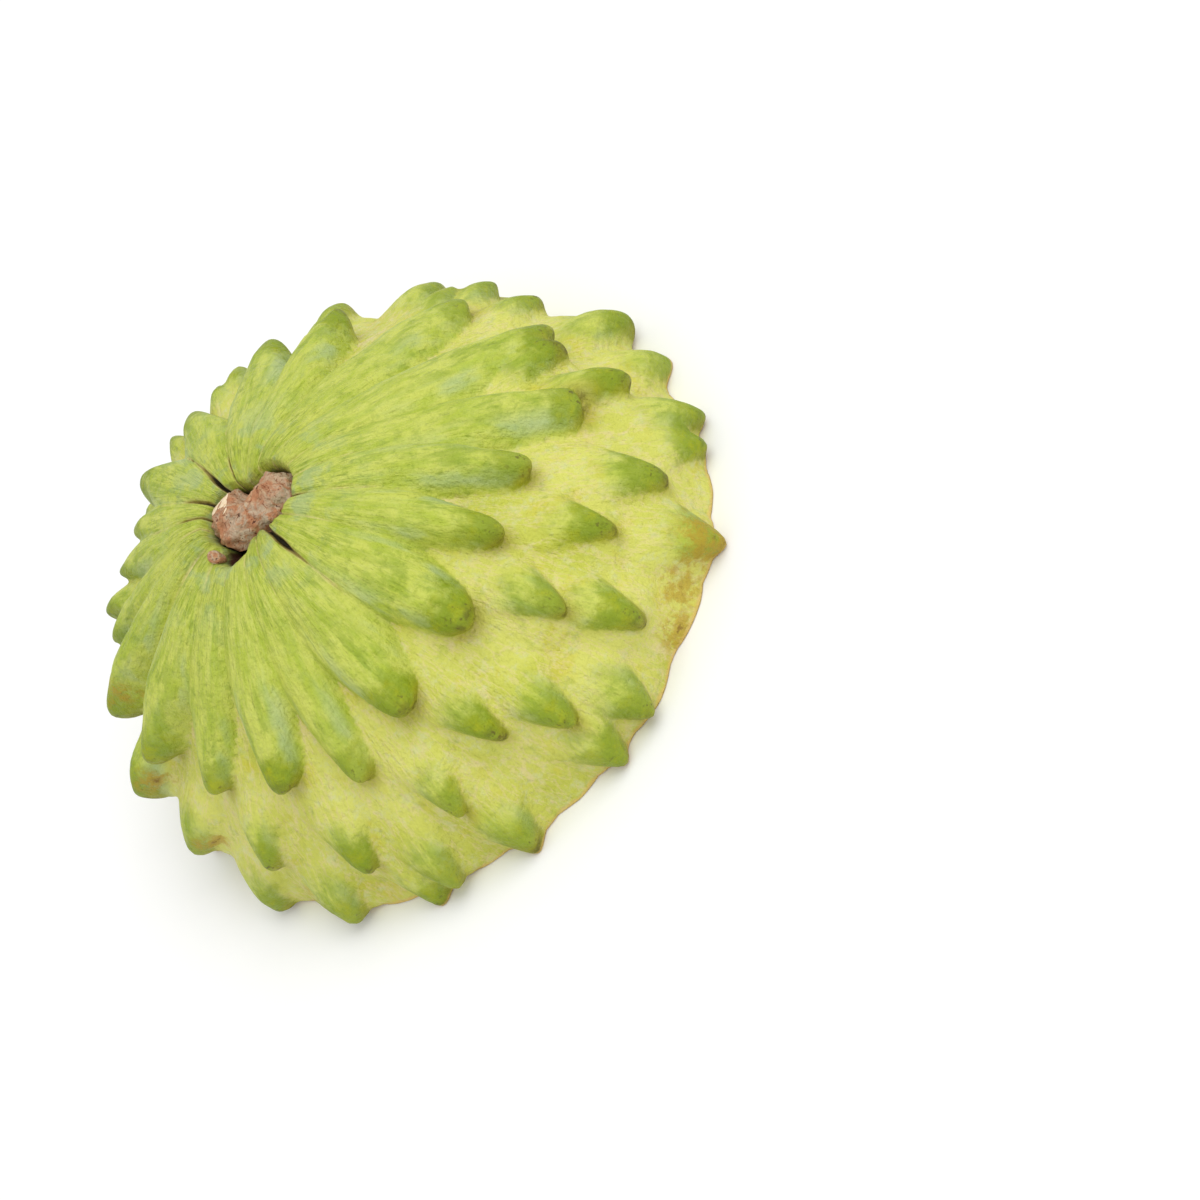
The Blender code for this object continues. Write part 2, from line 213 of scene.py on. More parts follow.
GROWN_OFF = {
    (0, 1): (0, -2, 1, 0.85),
    (0, 2): (-3.5, -1, 1, 0.95),
    (0, 3): (-5, 10, 1, 1.05),
    (0, 4): (-7, 11, 1, 1.2),
    (0, 5): (3, 14, 1, 1.2),
    (0, 6): (5, 3, 1.1, 0.9),
    (0, 8): (4, -4, 1, 0.9),
    (0, 9): (5, -5, 1, 0.85),
    (0, 10): (2, -3, 1, 0.8),
    (0, 11): (-8, -2, 1, 0.7),
    (0, 12): (-2, 7, 1.5, 0.8),
    (0, 13): (-2, 0, 1.2, 0.8),
    (0, 14): (0, 0, 0.8, 0.85),
    (0, 15): (0, 0, 0.75, 0.85),
    (0, 16): (-2, 6.5, 0.8, 0.9),
    (0, 17): (-5, 2.5, 0.9, 1.15),
    (1, 1): (-3, 3.5, 1, 1),
    (1, 2): (6, 7, 1, 1),
    (1, 4): (8, 13, 1, 0.9),
    (1, 5): (0, 9, 1.2, 0.9),
    (1, 6): (3, 2, 1.1, 0.8),
    (1, 7): (2, -9, 1, 0.7),
    (1, 8): (3, -13, 1.1, 0.8),
    (1, 10): (8, -10, 1.1, 0.7),
    (1, 11): (0, -6, 1.3, 0.8),
    (1, 12): (2, 2, 1.4, 0.9),
    (1, 13): (-7, 9, 1.2, 1),
    (1, 14): (-4, 4, 1, 1),
    (1, 15): (-5, 8, 1, 1),
    (1, 16): (-4, 10, 1, 1),
    (1, 17): (-6, 4.5, 1, 1),
    (2, 0): (-8, 0.5, 1, 1),
    (2, 1): (-4.5, -1.5, 1, 1),
    (2, 2): (-6, 11, 1, 1),
    (2, 3): (-1, 7, 1.4, 1),
    (2, 4): (9, 2.5, 1, 0.85),
    (2, 13): (-4, 9, 1.2, 1),
    (2, 14): (-8, 8.5, 1, 1),
    (2, 15): (-4, 9.5, 1, 1),
    (2, 16): (-8, 12, 1, 1),
    (2, 17): (-7, -1.5, 1, 1),
    (3, 0): (0, -1, 1, 1),
    (3, 1): (-4, -2, 1, 1),
    (3, 17): (-9, -2.5, 1, 1),
}
CROWDED_IN = [
    (0, 141, 50, 1.0, 0.65),
    (1, 72, 49, 1.0, 0.7),
]


def size_lobe(ring, around, turned, down, broader, taller):
    """A lobe of a ring. Its tip stands turned off the place where its root starts."""
    from_root = (down - LOBE_ROOT_DOWN) * BODY_RADIUS
    length = SHIELD_LENGTH if ring else min(from_root, LONGEST_LOBE)
    half_width = broader * (LOBE_HALF_WIDTH if ring else FIRST_HALF_WIDTH)
    height = LOBE_HEIGHT * HEIGHT_KEPT**ring * taller
    lobe = {"ring": ring, "around": around + turned, "turned": turned, "down": down}
    return lobe | {"length": length, "half_width": half_width, "height": height}


def list_lobes():
    """Each lobe's ring, place on the body, size and looks, as a dictionary."""
    draw = random.Random(LOBE_DRAW)
    looks = random.Random(LOOKS_DRAW)
    made = []
    for ring, ring_down in enumerate(RING_DOWN):
        for place in range(LOBES_IN_RING):
            grown = GROWN_OFF.get((ring, place), (0, 0, 1, 1))
            off_round, off_down, taller, broader = grown
            around = FIRST_LOBE_AT + (place + ring / 2) * math.tau / LOBES_IN_RING
            around += draw.uniform(-JITTER_ROUND, JITTER_ROUND)
            sway = FRONT_SWAY * math.cos(around - FRONT_SWAY_AT)
            sway += SIDE_SWAY * math.cos(2 * (around - SIDE_SWAY_AT))
            down = ring_down + sway * SWAY_KEPT**ring
            down += draw.uniform(-JITTER_DOWN, JITTER_DOWN) + math.radians(off_down)
            broader *= 1 + draw.uniform(-JITTER_WIDTH, JITTER_WIDTH)
            taller *= 1 + draw.uniform(-JITTER_HEIGHT, JITTER_HEIGHT)
            made.append(size_lobe(ring, around, math.radians(off_round), down, broader, taller))
    for ring, around, down, taller, broader in CROWDED_IN:
        around, down = math.radians(around), math.radians(down)
        made.append(size_lobe(ring, around, 0, down, broader, taller))
    for lobe in made:
        lobe |= {"bend": looks.uniform(-1, 1), "lean": looks.uniform(-1, 1)}
        lobe |= {"tone": looks.uniform(-1, 1), "tip_tone": looks.uniform(0, 1)}
    return made


LOBES = list_lobes()
print(len(LOBES), "lobes, the longest", round(max(x["length"] for x in LOBES) * 1000), "mm")

# %% [markdown]
# ## How one lobe rises
#
# A long petal climbs evenly from the stem to its tip. A lower lobe has two parts: a broad
# low shield, and a thumb that stands at its end and narrows to a round tip, a little more
# than on the solid model. In both the end falls steeply and hangs over a little, which
# gives the crisp edge and the shadow under each tip. Lobes could be sculpted by hand, but
# a formula can be tried out again after each change. This one takes the distance beside a
# lobe's middle line and the distance past its tip, and gives the height at that place.

# %% The relief of a lobe
ROOT_WIDTH = 0.3
WIDEST_AT = 0.62
TIP_WIDTH = 0.66
SHIELD_SHARE = 0.42
SHIELD_HALF_WIDTH = 9.0 * MM
SHIELD_FALL = 6.0 * MM
ROOT_HEIGHT = 0.16
ROOT_FADE = 0.1
CREST_CURVE = 1.6
CREST_FLATNESS = 1.2
THUMB_LENGTH = 13 * MM
THUMB_END = 2.0 * MM
THUMB_SPREAD = 0.45
THUMB_TAPER = 0.18
THUMB_TAPER_LENGTH = 7 * MM
NOSE_FALL = 1.9 * MM
NOSE_ROUNDING = 3.0 * MM
THUMB_ROUNDING = 3.8 * MM
NOSE_REACH = 0.38
THUMB_REACH = 0.34
NOSE_LENGTH = 5.1 * MM
SIDE_REACH = 0.6
CLEAR_ABOVE = 3.9 * MM
LOBE_BEND = 0.9 * MM
LOBE_LEAN = 0.14
LEAN_WIDTH = 1.5 * MM
TIP_TINT_LENGTH = 10 * MM
TIP_TINT_FULL = 1 * MM
TIP_TINT_PAST = 0.6 * MM
TIP_TINT_FADE = 1.8 * MM
UNDER_TIP_SHADE_START = 2 * MM
UNDER_TIP_SHADE_END = 5 * MM


def lobe_outline(along):
    """The width of a lobe as a share of its greatest, from its root to its tip."""
    widening = ROOT_WIDTH + (1 - ROOT_WIDTH) * ease(along / WIDEST_AT)
    narrowing = ease((along - WIDEST_AT) / (1 - WIDEST_AT))
    return widening * (1 - (1 - TIP_WIDTH) * narrowing)


def one_lobe(lobe, aside, past_tip):
    """A lobe's rise, its reach past its tip, and how much of its tip, of the painted shade under
    its tip and of its flank a point has."""
    along = 1 + past_tip / lobe["length"]
    aside = aside - LOBE_BEND * lobe["bend"] * np.sin(math.pi * np.clip(along, 0, 1))
    wider = 1 + LOBE_LEAN * lobe["lean"] * np.tanh(aside / LEAN_WIDTH)
    if lobe["ring"]:
        wider *= 1 + THUMB_SPREAD * (1 - ease(1 + past_tip / THUMB_LENGTH))
        wider *= 1 - THUMB_TAPER * ease(1 + past_tip / THUMB_TAPER_LENGTH)
    beside = (aside / (lobe["half_width"] * wider * lobe_outline(along))) ** 2
    crest = np.clip(1 - beside**CREST_FLATNESS, 0, 1)
    rounding = THUMB_ROUNDING if lobe["ring"] else NOSE_ROUNDING
    past_nose = past_tip + rounding * beside
    fall = 1 - ease((past_nose + NOSE_FALL) / (2 * NOSE_FALL))
    if lobe["ring"]:
        thumb = ease(1 + (past_tip + THUMB_END) / THUMB_LENGTH) * crest * fall
        shield = np.clip(1 - (aside / SHIELD_HALF_WIDTH) ** 2, 0, 1) ** 2
        shield *= ease(along) * (1 - ease(past_tip / SHIELD_FALL))
        share = SHIELD_SHARE * shield + (1 - SHIELD_SHARE) * thumb
    else:
        slope = ROOT_HEIGHT + (1 - ROOT_HEIGHT) * ease(along) ** CREST_CURVE
        root = ease(along / ROOT_FADE + 0.5)
        share = crest * slope * root * fall
    nearing_tip = ease(1 + past_nose / NOSE_LENGTH)
    reach = THUMB_REACH if lobe["ring"] else NOSE_REACH
    reach = reach * lobe["height"] * crest**SIDE_REACH * nearing_tip
    tip = ease(1 + (past_nose + TIP_TINT_FULL) / TIP_TINT_LENGTH) * np.sqrt(crest)
    tip *= 1 - ease((past_nose - TIP_TINT_PAST) / TIP_TINT_FADE)
    # Painted shade: the under share marks the skin just past a tip, where the tip hangs over.
    under = np.clip(1 - beside, 0, 1) * ease(1 + past_nose / UNDER_TIP_SHADE_START)
    under *= 1 - ease(past_nose / UNDER_TIP_SHADE_END)
    return lobe["height"] * share, reach, tip, under, np.sqrt(np.clip(beside, 0, 1))


trial = one_lobe(LOBES[0], np.zeros(1), np.full(1, -3 * MM))
print("a petal is", round(trial[0][0] * 1000, 1), "mm high just before its tip")

# %% [markdown]
# ## All lobes together
#
# At each point the highest lobe wins, so neighbours meet in sharp grooves as the petals
# of a bud do. A petal's middle line turns a little on its way, from its root's place to
# its tip's. The function also keeps what the finish needs later: how near a tip is, how
# close the next lobe is, and a tone that is each lobe's own. Only the points near a lobe
# are worked out for it, which keeps this quick.

# %% Add up the lobes
NEAR_LOBE = 10.5 * MM
PAST_LOBE = 8 * MM
BEFORE_LOBE = 1.1


def lobe_relief(round_angle, down_angle):
    """How the lobes raise each point, and what the finish needs to know of them."""
    shape = round_angle.shape
    names = ("rise", "next_rise", "reach", "tip", "under", "flank", "tone", "tip_tone", "ring")
    found = {name: np.zeros(shape) for name in names}
    for lobe in LOBES:
        all_past = (down_angle - lobe["down"]) * BODY_RADIUS
        not_yet_turned = 1 - ease(1 + all_past / lobe["length"])
        middle = lobe["around"] - lobe["turned"] * not_yet_turned * (lobe["ring"] == 0)
        all_aside = turn_from(middle, round_angle) * BODY_RADIUS * np.sin(down_angle)
        beside_it = np.abs(all_aside) < NEAR_LOBE
        within = (all_past < PAST_LOBE) & (all_past > -BEFORE_LOBE * lobe["length"])
        near = np.flatnonzero(beside_it & within)
        rise, reach, tip, under, flank = one_lobe(lobe, all_aside[near], all_past[near])
        before = found["rise"][near]
        higher = rise > before
        found["next_rise"][near] = np.where(
            higher, before, np.maximum(found["next_rise"][near], rise)
        )
        found["under"][near] = np.maximum(found["under"][near], under)
        top = near[higher]
        for name, values in (("rise", rise), ("reach", reach), ("tip", tip), ("flank", flank)):
            found[name][top] = values[higher]
        for name in ("tone", "tip_tone", "ring"):
            found[name][top] = lobe[name]
    clear = ease((found["rise"] - found["next_rise"]) / CLEAR_ABOVE)
    found["reach"] *= clear
    return found


trial = lobe_relief(np.zeros(1), np.full(1, math.radians(45)))
print("half way down, the lobes rise", round(trial["rise"][0] * 1000, 1), "mm")

# %% [markdown]
# ## The blank for the skin
#
# A skin with so many lobes needs an even net of small faces. Half a circle is the profile
# of a ball, and spinning it round the stem's axis gives the net. The arc stops a little
# below the cut, because the lobes there hang lower than the body. The blank is a piece of
# a ball of radius 1, and its points are moved to the fruit's surface afterwards.

# %% Spin the blank
ROUND_STEPS = 26 * LOBES_IN_RING
ARC_STEPS = 690
LOWEST_DOWN = math.radians(104)


def spin_blank(maker):
    """The upper part of a ball of radius 1, open below."""
    bmesh.ops.create_circle(maker, segments=ARC_STEPS, radius=1.0)
    upright_turn = Matrix.Rotation(math.pi / 2, 3, "X")
    bmesh.ops.rotate(maker, verts=maker.verts, matrix=upright_turn)
    unwanted = []
    for vertex in maker.verts:
        down = math.atan2(vertex.co.x, vertex.co.z)
        if not -1e-4 < down < LOWEST_DOWN:
            unwanted.append(vertex)
    bmesh.ops.delete(maker, geom=unwanted, context="VERTS")
    bmesh.ops.spin(
        maker,
        geom=maker.verts[:] + maker.edges[:],
        cent=(0, 0, 0),
        axis=(0, 0, 1),
        angle=math.tau,
        steps=ROUND_STEPS,
        use_merge=True,
    )
    pole = [vertex for vertex in maker.verts if vertex.co.z > 1 - 1e-7]
    bmesh.ops.remove_doubles(maker, verts=pole, dist=1e-5)
    bmesh.ops.recalc_face_normals(maker, faces=maker.faces)


def made_mesh(maker, name):
    """Ends the making, and gives what was made as a mesh of that name."""
    mesh = bpy.data.meshes.new(name)
    maker.to_mesh(mesh)
    maker.free()
    return mesh


blank = bmesh.new()
spin_blank(blank)
skin_mesh = made_mesh(blank, "skin")
print("the blank has", len(skin_mesh.polygons), "faces")

# %% [markdown]
# ## The seat of the stem and the slits
#
# The stem sits in a dip of its own outline. Round it the petals touch, and the grooves between
# them have opened into slits, some of them further than the others. Both are given as shares
# from 0 to 1, so that the same numbers can sink the skin in the next step and darken its finish
# later. The seat is darkened with painted shade. The slits are darkened with brown and, at their
# deepest, with painted shade.

# %% The seat and the slits
STEM_LENGTH = 16.2 * MM
STEM_WIDTH = 11.6 * MM
STEM_WAIST = 0.28
STEM_WAIST_WIDTH = 0.3
STEM_TURN = math.radians(140)
STEM_SHIFT = 0.8 * MM
SEAT_EDGE = 0.86
SEAT_EDGE_WIDTH = 0.22
LEAST_OPEN = 0.22
OPEN_SLITS = [(-96, 1.0), (84, 0.9), (104, 0.7), (64, 0.4), (124, 0.6), (-56, 0.6)]
SLIT_SPAN = math.radians(7)


def stem_seat(point):
    """1 under the stem and 0 beside it."""
    x = point[:, 0] - STEM_OFFSET - STEM_SHIFT
    along = (x * math.cos(STEM_TURN) + point[:, 1] * math.sin(STEM_TURN)) / STEM_LENGTH
    aside = (point[:, 1] * math.cos(STEM_TURN) - x * math.sin(STEM_TURN)) / STEM_WIDTH
    waist = 1 - STEM_WAIST * np.exp(-((2 * along / STEM_WAIST_WIDTH) ** 2))
    out = 2 * np.hypot(along, aside / waist)
    return 1 - ease((out - SEAT_EDGE) / SEAT_EDGE_WIDTH)


def open_slits(round_angle):
    """How far the slits at that angle have opened, from a little to 1."""
    opened = np.full_like(round_angle, LEAST_OPEN)
    for at_round, share in OPEN_SLITS:
        turn = turn_from(math.radians(at_round), round_angle)
        opened = np.maximum(opened, share * np.exp(-((turn / SLIT_SPAN) ** 2)))
    return opened


print(len(OPEN_SLITS), "slits stand open near the stem")

# %% [markdown]
# ## Move the blank onto the fruit
#
# Each point of the blank knows its two angles. The body's formula places it, and the lobes raise
# it. Small uneven shapes come on top: soft lumps a few millimetres wide, fine ridges that run
# with each petal, and the slits, which are thickest by the stem. Under the stem the skin sinks
# into the seat, with a hollow beside it, and the finish paints both dark as shade. All points
# are moved in one go with arrays, which is much quicker than one after the other.

# %% Shape the skin
SEAT_DEPTH = 4.0 * MM
SEAT_DOWN = math.radians(40)
HOLLOW_AT = (-8.9 * MM, -2.2 * MM)
HOLLOW_RADIUS = 2.3 * MM
HOLLOW_DEPTH = 3.2 * MM
SLIT_DEPTH = 1.2 * MM
SLIT_WIDTH = 0.22 * MM
SLIT_TEAR_SIZE = 3.2 * MM
SLITS_FROM = math.radians(10)
SLITS_FADE = math.radians(36)
SLITS_THIN = math.radians(8)
LUMP_HEIGHT = 0.38 * MM
LUMP_SIZE = 7 * MM
PIMPLE_HEIGHT = 0.22 * MM
PIMPLE_SIZE = 2.6 * MM
RIDGE_HEIGHT = 0.08 * MM
RIDGE_SIZE = 1.3
FLOW_SHRINK = 0.14


def lumps(points, size, shift):
    """Smooth noise from -1 to 1 at each point, with lumps of about that size."""
    move = Vector((shift, 2 * shift, -shift))
    return np.array([noise.noise(Vector(point) / size + move) for point in points])


def flow_of(round_angle, down_angle):
    """A place on the skin in millimetres, drawn together along the way down, so that
    noise read there makes long streaks that run from the stem."""
    across = BODY_RADIUS / MM
    x = across * np.cos(round_angle)
    y = across * np.sin(round_angle)
    return np.stack([x, y, across * down_angle * FLOW_SHRINK], axis=-1)


def skin_surface(round_angle, down_angle):
    """The skin's points, and what its finish needs to know at each."""
    body, normal, away = body_frame(round_angle, down_angle)
    facts = lobe_relief(round_angle, down_angle)
    flow = flow_of(round_angle, down_angle)
    near_stem = 1 - ease((down_angle - SLITS_FROM) / SLITS_FADE)
    gap = facts["rise"] - facts["next_rise"]
    thickest = 1 - ease((down_angle - SLITS_FROM) / SLITS_THIN)
    opened = 0.5 + 0.6 * thickest + 0.5 * lumps(body, SLIT_TEAR_SIZE, 6.0)
    opened *= open_slits(round_angle)
    width = SLIT_WIDTH * (0.35 + opened) * (0.4 + near_stem)
    slit = np.exp(-((gap / width) ** 2)) * near_stem * opened
    uneven = LUMP_HEIGHT * lumps(body, LUMP_SIZE, 3.0)
    uneven += PIMPLE_HEIGHT * lumps(body, PIMPLE_SIZE, 8.0) * (0.5 + facts["tip"])
    uneven += RIDGE_HEIGHT * lumps(flow, RIDGE_SIZE, 5.0)
    rise = facts["rise"] + uneven - SLIT_DEPTH * slit
    point = body + rise[:, None] * normal + facts["reach"][:, None] * away
    seat = stem_seat(point) * ease((SEAT_DOWN - down_angle) / 0.2)
    from_hollow = np.hypot(point[:, 0] - HOLLOW_AT[0], point[:, 1] - HOLLOW_AT[1])
    hollow = np.exp(-((from_hollow / HOLLOW_RADIUS) ** 4)) * near_stem
    point[:, 2] -= SEAT_DEPTH * seat + HOLLOW_DEPTH * hollow
    # The seat share also sets where the seat and the hollow are painted dark as shade.
    facts |= {"slit": slit, "seat": np.maximum(seat, hollow), "flow": flow}
    return point, facts


on_ball = np.zeros(len(skin_mesh.vertices) * 3)
skin_mesh.vertices.foreach_get("co", on_ball)
on_ball = on_ball.reshape(-1, 3)
skin_down = np.arccos(np.clip(on_ball[:, 2], -1, 1))
skin_round = np.arctan2(on_ball[:, 1], on_ball[:, 0])
skin_points, skin_facts = skin_surface(skin_round, skin_down)
skin_mesh.vertices.foreach_set("co", skin_points.ravel())
print("the skin is", np.round(np.ptp(skin_points, axis=0) * 1000, 1), "mm")

# %% [markdown]
# ## Soften the ends of the lobes
#
# A lobe's end is steep, and the squares of the blank lie twisted on it, so its edge
# would come out as a saw. Each point there is moved towards the middle of its neighbours
# a few times, the way a thumb smooths clay. Then each square is cut into two triangles
# along its shorter diagonal, which follows the surface better than a fixed one does.

# %% Soften the ends
SOFTENINGS = 4
LEAST_TIP = 0.12
LEAST_RISE = 0.15 * MM


def soften(mesh, chosen):
    """Evens out the chosen points of a mesh, cuts it all into triangles, and gives how
    many points there were."""
    maker = bmesh.new()
    maker.from_mesh(mesh)
    maker.verts.ensure_lookup_table()
    ends = [maker.verts[index] for index in np.flatnonzero(chosen)]
    for _ in range(SOFTENINGS):
        bmesh.ops.smooth_vert(
            maker, verts=ends, factor=0.5, use_axis_x=True, use_axis_y=True, use_axis_z=True
        )
    bmesh.ops.triangulate(maker, faces=maker.faces, quad_method="SHORT_EDGE")
    maker.to_mesh(mesh)
    maker.free()
    return len(ends)


steep_end = (skin_facts["tip"] > LEAST_TIP) & (skin_facts["rise"] > LEAST_RISE)
print("softened", soften(skin_mesh, steep_end), "points")

# %% [markdown]
# ## Give the skin's facts to the finish
#
# A material can read numbers that are kept at a mesh's points, which are called attributes. They
# stay with the surface when it is cut, unlike tricks that depend on the view. A few spots of
# brown bruising are added here, where the picture shows them. Each is two angles and a radius in
# millimetres.

# %% Keep the facts on the mesh
BRUISES = [
    (-58, 86, 5.0),
    (-65, 85, 4.0),
    (-72, 88, 3.4),
    (-95, 92, 2.2),
    (-179, 72, 2.0),
    (176, 80, 2.6),
    (-160, 82, 2.0),
    (154, 50, 2.2),
    (168, 63, 2.0),
    (60, 84, 2.5),
    (110, 88, 3.0),
]


def keep_number(mesh, name, values):
    """Keeps one number for each point of the mesh."""
    mesh.attributes.new(name, "FLOAT", "POINT").data.foreach_set(
        "value", values.astype(np.float32)
    )


def keep_vector(mesh, name, values):
    """Keeps three numbers for each point of the mesh."""
    mesh.attributes.new(name, "FLOAT_VECTOR", "POINT").data.foreach_set(
        "vector", values.astype(np.float32).ravel()
    )


def bruising(round_angle, down_angle):
    """1 in the middle of a bruise and 0 away from all of them."""
    body = body_point(round_angle, down_angle)
    found = np.zeros_like(round_angle)
    for at_round, at_down, radius in BRUISES:
        middle = body_point(
            np.array([math.radians(at_round)]), np.array([math.radians(at_down)])
        )
        far = np.linalg.norm(body - middle, axis=1) / (radius * MM)
        found = np.maximum(found, np.exp(-(far**2)))
    return found


keep_number(skin_mesh, "height", skin_facts["rise"] / LOBE_HEIGHT)
gap = (skin_facts["rise"] - skin_facts["next_rise"]) / MM
keep_number(skin_mesh, "gap", gap)
for name in ("tip", "under", "flank", "tone", "tip_tone", "slit", "seat"):
    keep_number(skin_mesh, name, skin_facts[name])
keep_number(skin_mesh, "petal", (skin_facts["ring"] == 0) & (skin_facts["rise"] > 0))
keep_number(skin_mesh, "bruise", bruising(skin_round, skin_down))
keep_number(skin_mesh, "down", skin_down)
keep_vector(skin_mesh, "flow", skin_facts["flow"])
print("kept", [item.name for item in skin_mesh.attributes if item.name[0] != "."])

# %% [markdown]
# ## Cut the skin and close it
#
# The knife went through at Z = 0. Cutting the net there leaves an open rim. The rim is
# extruded inwards along the cut, which makes the pale edge that the cut fruit shows, and
# then up inside as a wall that closes under the stem, so the skin is a closed shell.

# %% Cut and close
SKIN_DEPTH = 2.0 * MM
UNDER_SEAT = 8.0 * MM
UNDER_SEAT_WIDTH = math.radians(17)
EDGE_SHARES = (0.06, 0.13, 0.22, 0.34, 0.5, 0.72, 1.0)
WALL_DOWNS = (80, 70, 60, 50, 40, 30, 24, 18, 12, 6)


def new_rim(maker, rim, slot=0):
    """Extrudes the rim, and gives the new rim and its points."""
    made = bmesh.ops.extrude_edge_only(maker, edges=rim)["geom"]
    points = [item for item in made if isinstance(item, bmesh.types.BMVert)]
    known = set(points)
    for item in made:
        if isinstance(item, bmesh.types.BMFace):
            item.material_index = slot
    edges = [item for item in made if isinstance(item, bmesh.types.BMEdge)]
    return [edge for edge in edges if set(edge.verts) <= known], points


def sunk_point(round_angle, down_angle, depth):
    """A point of the body's surface moved inwards, and deeper under the stem's seat."""
    body, normal, _ = body_frame(np.array([round_angle]), np.array([down_angle]))
    depth = depth + UNDER_SEAT * math.exp(-((down_angle / UNDER_SEAT_WIDTH) ** 2))
    return Vector((body - depth * normal)[0])


def raise_wall(maker, rim, depth, slot=0):
    """Extrudes a rim up inside the skin, step by step, and closes it under the stem."""
    for down in WALL_DOWNS:
        rim, points = new_rim(maker, rim, slot)
        for vertex in points:
            turn = math.atan2(vertex.co.y, vertex.co.x)
            vertex.co = sunk_point(turn, math.radians(down), depth)
    top = sunk_point(0.0, 0.01, depth)
    rim, points = new_rim(maker, rim, slot)
    for vertex in points:
        vertex.co = top
    bmesh.ops.remove_doubles(maker, verts=points, dist=1e-5)


def count_open(maker):
    """The number of edges that are not closed by two faces."""
    return sum(not edge.is_manifold for edge in maker.edges)


def close_skin(maker):
    """Cuts the skin at Z = 0, gives it its edge and its inner wall, and counts the rim."""
    plane = bmesh.ops.bisect_plane(
        maker,
        geom=maker.verts[:] + maker.edges[:] + maker.faces[:],
        plane_co=(0, 0, 0),
        plane_no=(0, 0, -1),
        clear_outer=True,
    )
    cut = [item for item in plane["geom_cut"] if isinstance(item, bmesh.types.BMEdge)]
    rim = [edge for edge in cut if edge.is_boundary]
    inside = maker.verts.layers.float.new("inside")
    rim_points = len({vertex for edge in rim for vertex in edge.verts})
    for share in EDGE_SHARES:
        rim, points = new_rim(maker, rim, 1)
        for vertex in points:
            turn = math.atan2(vertex.co.y, vertex.co.x)
            goal = sunk_point(turn, math.pi / 2, SKIN_DEPTH)
            goal.z = 0
            done = vertex[inside]
            vertex.co = vertex.co.lerp(goal, (share - done) / (1 - done + 1e-9))
            vertex[inside] = share
    raise_wall(maker, rim, SKIN_DEPTH, 1)
    return rim_points


closer = bmesh.new()
closer.from_mesh(skin_mesh)
rim_points = close_skin(closer)
bmesh.ops.recalc_face_normals(closer, faces=closer.faces)
closer.to_mesh(skin_mesh)
open_edges = count_open(closer)
print("rim of", rim_points, "points;", open_edges, "open edges")
print("skin of", closer.calc_volume() * 1e6, "cubic centimetres")
closer.free()
skin_mesh.shade_smooth()
skin_mesh.calc_loop_triangles()
skin = add_to_scene("lobed_skin", skin_mesh)
print("skin of", len(skin_mesh.loop_triangles), "triangles")

# %% [markdown]
# ## Helpers for finishes
#
# A finish is a tree of nodes: attributes and noise go in, are sharpened into masks, and
# each mask lays one colour over the last, as a painter glazes. These few helpers keep
# each layer to one line. Colours are given as the usual 0 to 255 numbers and turned into
# the linear ones that Blender works with.

# %% Node helpers


def colour(red, green, blue):
    """A linear colour from the usual 0 to 255 numbers."""
    linear = []
    for value in (red, green, blue):
        share = value / 255
        low = share / 12.92
        linear.append(low if share <= 0.04045 else ((share + 0.055) / 1.055) ** 2.4)
    return (*linear, 1.0)


def new_finish(name, roughness, specular=0.5):
    """A new material, its tree of nodes, and its shader."""
    material = bpy.data.materials.new(name)
    material.use_nodes = True
    shader = material.node_tree.nodes["Principled BSDF"]
    shader.inputs["Roughness"].default_value = roughness
    shader.inputs["Specular IOR Level"].default_value = specular
    return material, material.node_tree, shader


def fact(tree, name, output="Fac"):
    """A number, or with Vector a place, that the mesh keeps."""
    node = tree.nodes.new("ShaderNodeAttribute")
    node.attribute_name = name
    return node.outputs[output]


def object_place(tree):
    """A point's place on its object, in metres."""
    return tree.nodes.new("ShaderNodeTexCoord").outputs["Object"]


def cloud(tree, place, size, detail=3.0, roughness=0.55):
    """Noise from 0 to 1 with clouds of about that size."""
    node = tree.nodes.new("ShaderNodeTexNoise")
    node.inputs["Scale"].default_value = 1 / size
    node.inputs["Detail"].default_value = detail
    node.inputs["Roughness"].default_value = roughness
    tree.links.new(place, node.inputs["Vector"])
    return node.outputs["Fac"]


def fade(tree, value, start, end):
    """0 until start and 1 from end on, or the other way round if end is the lower."""
    node = tree.nodes.new("ShaderNodeMapRange")
    node.interpolation_type = "SMOOTHSTEP"
    node.inputs["From Min"].default_value = min(start, end)
    node.inputs["From Max"].default_value = max(start, end)
    node.inputs["To Min"].default_value = 0.0 if start < end else 1.0
    node.inputs["To Max"].default_value = 1.0 if start < end else 0.0
    tree.links.new(value, node.inputs["Value"])
    return node.outputs["Result"]


def count(tree, operation, *values):
    """One step of arithmetic on numbers or on other nodes' outputs."""
    node = tree.nodes.new("ShaderNodeMath")
    node.operation = operation
    for socket, value in zip(node.inputs, values):
        if isinstance(value, (int, float)):
            socket.default_value = value
        else:
            tree.links.new(value, socket)
    return node.outputs["Value"]


def times(tree, *values):
    """The product of two or more numbers or outputs."""
    product = values[0]
    for value in values[1:]:
        product = count(tree, "MULTIPLY", product, value)
    return product


def glaze(tree, under, over, share):
    """Lays the colour over the one under it, by share."""
    node = tree.nodes.new("ShaderNodeMix")
    node.data_type = "RGBA"
    for socket, value in ((node.inputs[6], under), (node.inputs[7], over)):
        if isinstance(value, tuple):
            socket.default_value = value
        else:
            tree.links.new(value, socket)
    tree.links.new(share, node.inputs[0])
    return node.outputs[2]


def bumps(tree, shader, height, deep):
    """Makes the surface look uneven, by that height and that depth."""
    node = tree.nodes.new("ShaderNodeBump")
    node.inputs["Distance"].default_value = deep
    node.inputs["Strength"].default_value = 1.0
    tree.links.new(height, node.inputs["Height"])
    tree.links.new(node.outputs["Normal"], shader.inputs["Normal"])


print("one grey step:", round(colour(128, 128, 128)[0], 3))

